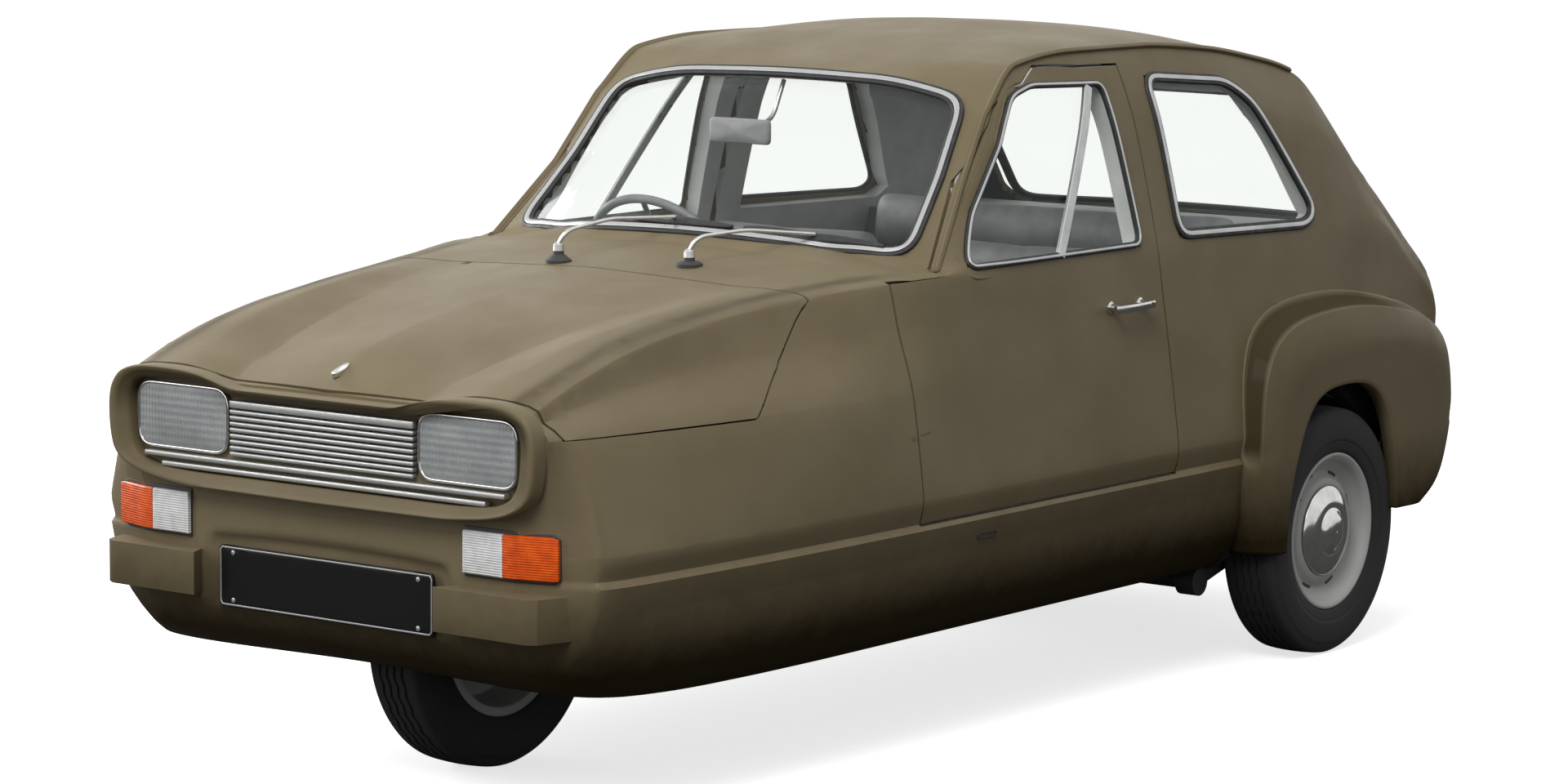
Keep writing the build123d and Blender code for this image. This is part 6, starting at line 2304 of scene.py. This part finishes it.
# ---------------------------------------------------------------- underside
@dataclass
class Underside:
    """Chassis, engine, gearbox, arms, fork, pipe and wheel housings."""

    parts: tuple[tuple[str, Finish, str, float], ...] = (
        ("chassis", CHASSIS, "body", 0.003), ("engine_block", ENGINE, "body", 0.006),
        ("transaxle", ENGINE, "body", 0.004), ("rear_arms", CHASSIS, "body", 0.002),
        ("front_carrier", CHASSIS, "body", 0.002), ("front_fork", CHASSIS, "front_fork", 0.003),
        ("front_wheel_well", CHASSIS, "body", 0.001), ("rear_wheel_wells", CHASSIS, "body", 0.001))

    def engine(self) -> None:
        """Fins, rocker cover, pulleys, belt and air filter on the block."""
        low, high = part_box("engine_block")
        fins = [pillow_box((low[0] + 0.02, low[1] - 0.006, z),
                           (high[0] - 0.02, high[1] + 0.006, z + 0.005), 0.002, 3)
                for z in np.arange(low[2] + 0.05, high[2] - 0.08, 0.018)]
        plain("engine_fins", together(fins), ENGINE, "body")
        cover = pillow_box((low[0] + 0.03, -0.07, high[2] - 0.02),
                           (high[0] - 0.03, 0.07, high[2] + 0.035), 0.02, 6)
        plain("rocker_cover", cover, BLACK, "body")
        x, z = low[0] - 0.004, low[2] + 0.15
        pulleys = []
        for y, up, r in ((0.0, 0.0, 0.062), (-0.10, 0.13, 0.040), (0.09, 0.14, 0.048)):
            profile = [(0.004, 0.0), (0.004, r), (0.0, r), (-0.005, r * 0.86), (-0.010, r),
                       (-0.014, r), (-0.014, 0.0)]
            pulleys.append(turned(profile, (x, y, z + up), 40, "X"))
        plain("engine_pulleys", together(pulleys), DULL_METAL, "body")
        loop = [(x - 0.005, y, z + up) for y, up in (
            (0.058, -0.02), (0.135, 0.13), (0.09, 0.186), (-0.11, 0.168), (-0.138, 0.12),
            (-0.058, -0.02), (0.0, -0.062))]
        path = resample(rounded(loop, 0.03, 6), 120, True)
        belt = sweep(path, (1.0, 0, 0), bar_profile(0.005, 0.009, 0.001), True)
        plain("engine_belt", belt, SEAL, "body")
        pot = [(0.0, 0.0), (0.0, 0.085), (0.006, 0.092), (0.040, 0.092), (0.047, 0.086),
               (0.050, 0.02), (0.056, 0.0)]
        top = ((low[0] + high[0]) / 2, 0.11, high[2] + 0.012)
        plain("air_filter", turned(pot, top, 56, "Z"), CHASSIS, "body")

    def pipe(self) -> None:
        """The open tail pipe and its clamp."""
        y, z = 0.155, 0.257
        pipe = [(0.0, 0.0), (0.0, 0.0195), (-0.166, 0.0195), (-0.166, 0.0165), (-0.110, 0.0165),
                (-0.110, 0.0)]
        shape = turned(pipe, (rear(-422), y, z), 36, "X")
        plain("exhaust_pipe", shape, ENGINE, "body", "exhaust")
        clamp = [(0.0, 0.0), (0.0, 0.020), (-0.004, 0.029), (-0.060, 0.029), (-0.064, 0.020),
                 (-0.064, 0.0)]
        plain("exhaust_clamp", turned(clamp, (rear(-450), y, z), 36, "X"), CHASSIS, "body")

    def build(self) -> None:
        """Builds the underside."""
        for node, finish, body, bevel in self.parts:
            copied(node, finish, body, bevel)
        self.engine()
        self.pipe()


# ---------------------------------------------------------------- stage
class Softbox(NamedTuple):
    """A soft square lamp: where it hangs and faces, its side in metres and its power in watts."""

    name: str
    place: tuple[float, float, float]
    target: tuple[float, float, float]
    size: float
    power: float


@dataclass
class Studio:
    """Plain pale floor, soft lamps and the camera.

    Attributes:
        place: where the camera stands.
        yaw, pitch, roll: where it looks, in degrees: about the vertical, down, and tilted.
        lens: its focal length in millimetres.
        floor_half: half the floor's side.
        lamps: the lamps.
    """

    place: tuple[float, float, float] = (7.4463, 5.4958, 1.7932)
    yaw: float = -143.087
    pitch: float = 7.341
    roll: float = 0.512
    lens: float = 104.23
    floor_half: float = 30.0
    lamps: tuple[Softbox, ...] = (
        Softbox("key", (5.0, 2.2, 5.6), (0.2, 0.0, 0.7), 3.0, 250.0),
        Softbox("top", (-0.8, 0.8, 6.0), (-0.2, 0.0, 0.8), 4.0, 50.0),
        Softbox("fill", (5.5, -4.0, 3.0), (0.3, 0.0, 0.6), 4.0, 95.0),
        Softbox("through_windows", (0.6, -4.6, 2.2), (0.0, 0.2, 0.9), 2.5, 170.0))

    def floor(self) -> None:
        """A level floor: pale to the eye and through glass, darker in the light that it throws up."""
        s = self.floor_half
        corners = [(x, y, 0) for x, y in rectangle(-s, -s, s, s)]
        piece = Piece("studio_floor", np.array(corners), [[0, 1, 2, 3]])
        nodes = Nodes("studio_floor")
        light = nodes.tree.nodes.new("ShaderNodeLightPath").outputs
        seen = nodes.calculate("MAXIMUM", light["Is Camera Ray"], light["Is Transmission Ray"])
        nodes.set(Roughness=1.0, Specular_IOR_Level=0.0)
        grain = nodes.range(nodes.noise(2.0), 0.3, 0.7, 0.0, 1.0)
        pale = nodes.mix(grain, (0.96, 0.96, 0.96, 1), (0.93, 0.93, 0.93, 1))
        nodes.colour(nodes.mix(seen, (0.14, 0.14, 0.14, 1), pale))
        nodes.join(nodes.mix(seen, (0, 0, 0, 1), (0.72, 0.72, 0.72, 1)),
                   nodes.shader.inputs["Emission Color"])
        nodes.set(Emission_Strength=1.0)
        piece.object.data.materials.append(nodes.material)

    def world(self) -> None:
        """Even light from all round, seen as white."""
        world = bpy.data.worlds.new("studio")
        bpy.context.scene.world = world
        world.use_nodes = True
        tree = world.node_tree
        tree.nodes.clear()
        light = tree.nodes.new("ShaderNodeLightPath")
        back = tree.nodes.new("ShaderNodeBackground")
        back.inputs["Color"].default_value = (1, 1, 1, 1)
        level = tree.nodes.new("ShaderNodeMapRange")
        level.inputs["To Min"].default_value = 0.33
        level.inputs["To Max"].default_value = 1.0
        seen = tree.nodes.new("ShaderNodeMath")
        seen.operation = "MAXIMUM"
        tree.links.new(light.outputs["Is Camera Ray"], seen.inputs[0])
        tree.links.new(light.outputs["Is Transmission Ray"], seen.inputs[1])
        either = tree.nodes.new("ShaderNodeMath")
        either.operation = "MAXIMUM"
        tree.links.new(seen.outputs[0], either.inputs[0])
        tree.links.new(light.outputs["Is Glossy Ray"], either.inputs[1])
        tree.links.new(either.outputs[0], level.inputs["Value"])
        tree.links.new(level.outputs[0], back.inputs["Strength"])
        output = tree.nodes.new("ShaderNodeOutputWorld")
        tree.links.new(back.outputs[0], output.inputs["Surface"])

    def hang(self, softbox: Softbox) -> None:
        """Hangs one lamp, facing its target."""
        data = bpy.data.lights.new(softbox.name, "AREA")
        data.size = softbox.size
        data.energy = softbox.power
        lamp = bpy.data.objects.new(softbox.name, data)
        bpy.context.scene.collection.objects.link(lamp)
        out = unit(np.array(softbox.place) - np.array(softbox.target))
        side = unit(np.cross([0.0, 0.0, 1.0], out) + np.array([1e-6, 0, 0]))
        turn = np.stack([side, np.cross(out, side), out], 1)
        lamp.matrix_world = Matrix.Translation(softbox.place) @ Matrix(turn.tolist()).to_4x4()

    def camera(self) -> None:
        """The camera, at its place and turned by yaw, pitch and roll."""
        yaw, pitch, roll = map(math.radians, (self.yaw, self.pitch, self.roll))
        level = math.cos(pitch)
        ahead = np.array([math.cos(yaw) * level, math.sin(yaw) * level, -math.sin(pitch)])
        right = np.array([math.sin(yaw), -math.cos(yaw), 0.0])
        up = np.cross(right, ahead)
        across = math.cos(roll) * right + math.sin(roll) * up
        upward = math.cos(roll) * up - math.sin(roll) * right
        data = bpy.data.cameras.new("camera")
        data.lens = self.lens
        data.sensor_width = 36.0
        data.clip_end = 200.0
        camera = bpy.data.objects.new("camera", data)
        bpy.context.scene.collection.objects.link(camera)
        turn = np.stack([across, upward, -ahead], 1)
        camera.matrix_world = Matrix.Translation(self.place) @ Matrix(turn.tolist()).to_4x4()
        bpy.context.scene.camera = camera

    def build(self) -> None:
        """Sets up the whole studio."""
        bpy.context.scene.view_settings.view_transform = "Standard"
        self.floor()
        self.world()
        for softbox in self.lamps:
            self.hang(softbox)
        self.camera()


def main() -> None:
    """Sets up the studio, then builds the car in it piece by piece."""
    logging.basicConfig(level=logging.INFO, format="%(name)s %(message)s")
    Studio().build()
    BodyPanels().build()
    Glazing().build()
    Wipers().build()
    Nose().build()
    Wing().build()
    Sides().build()
    Cabin().build()
    Tail().build()
    Underside().build()
    for wheel in (Wheel("front_wheel", "front", FRONT_X, 0.0, -1),
                  Wheel("rear_wheel_left", "rear_left", REAR_X, WHEEL_Y, 1),
                  Wheel("rear_wheel_right", "rear_right", REAR_X, -WHEEL_Y, -1)):
        wheel.build()


if __name__ == "__main__":
    main()
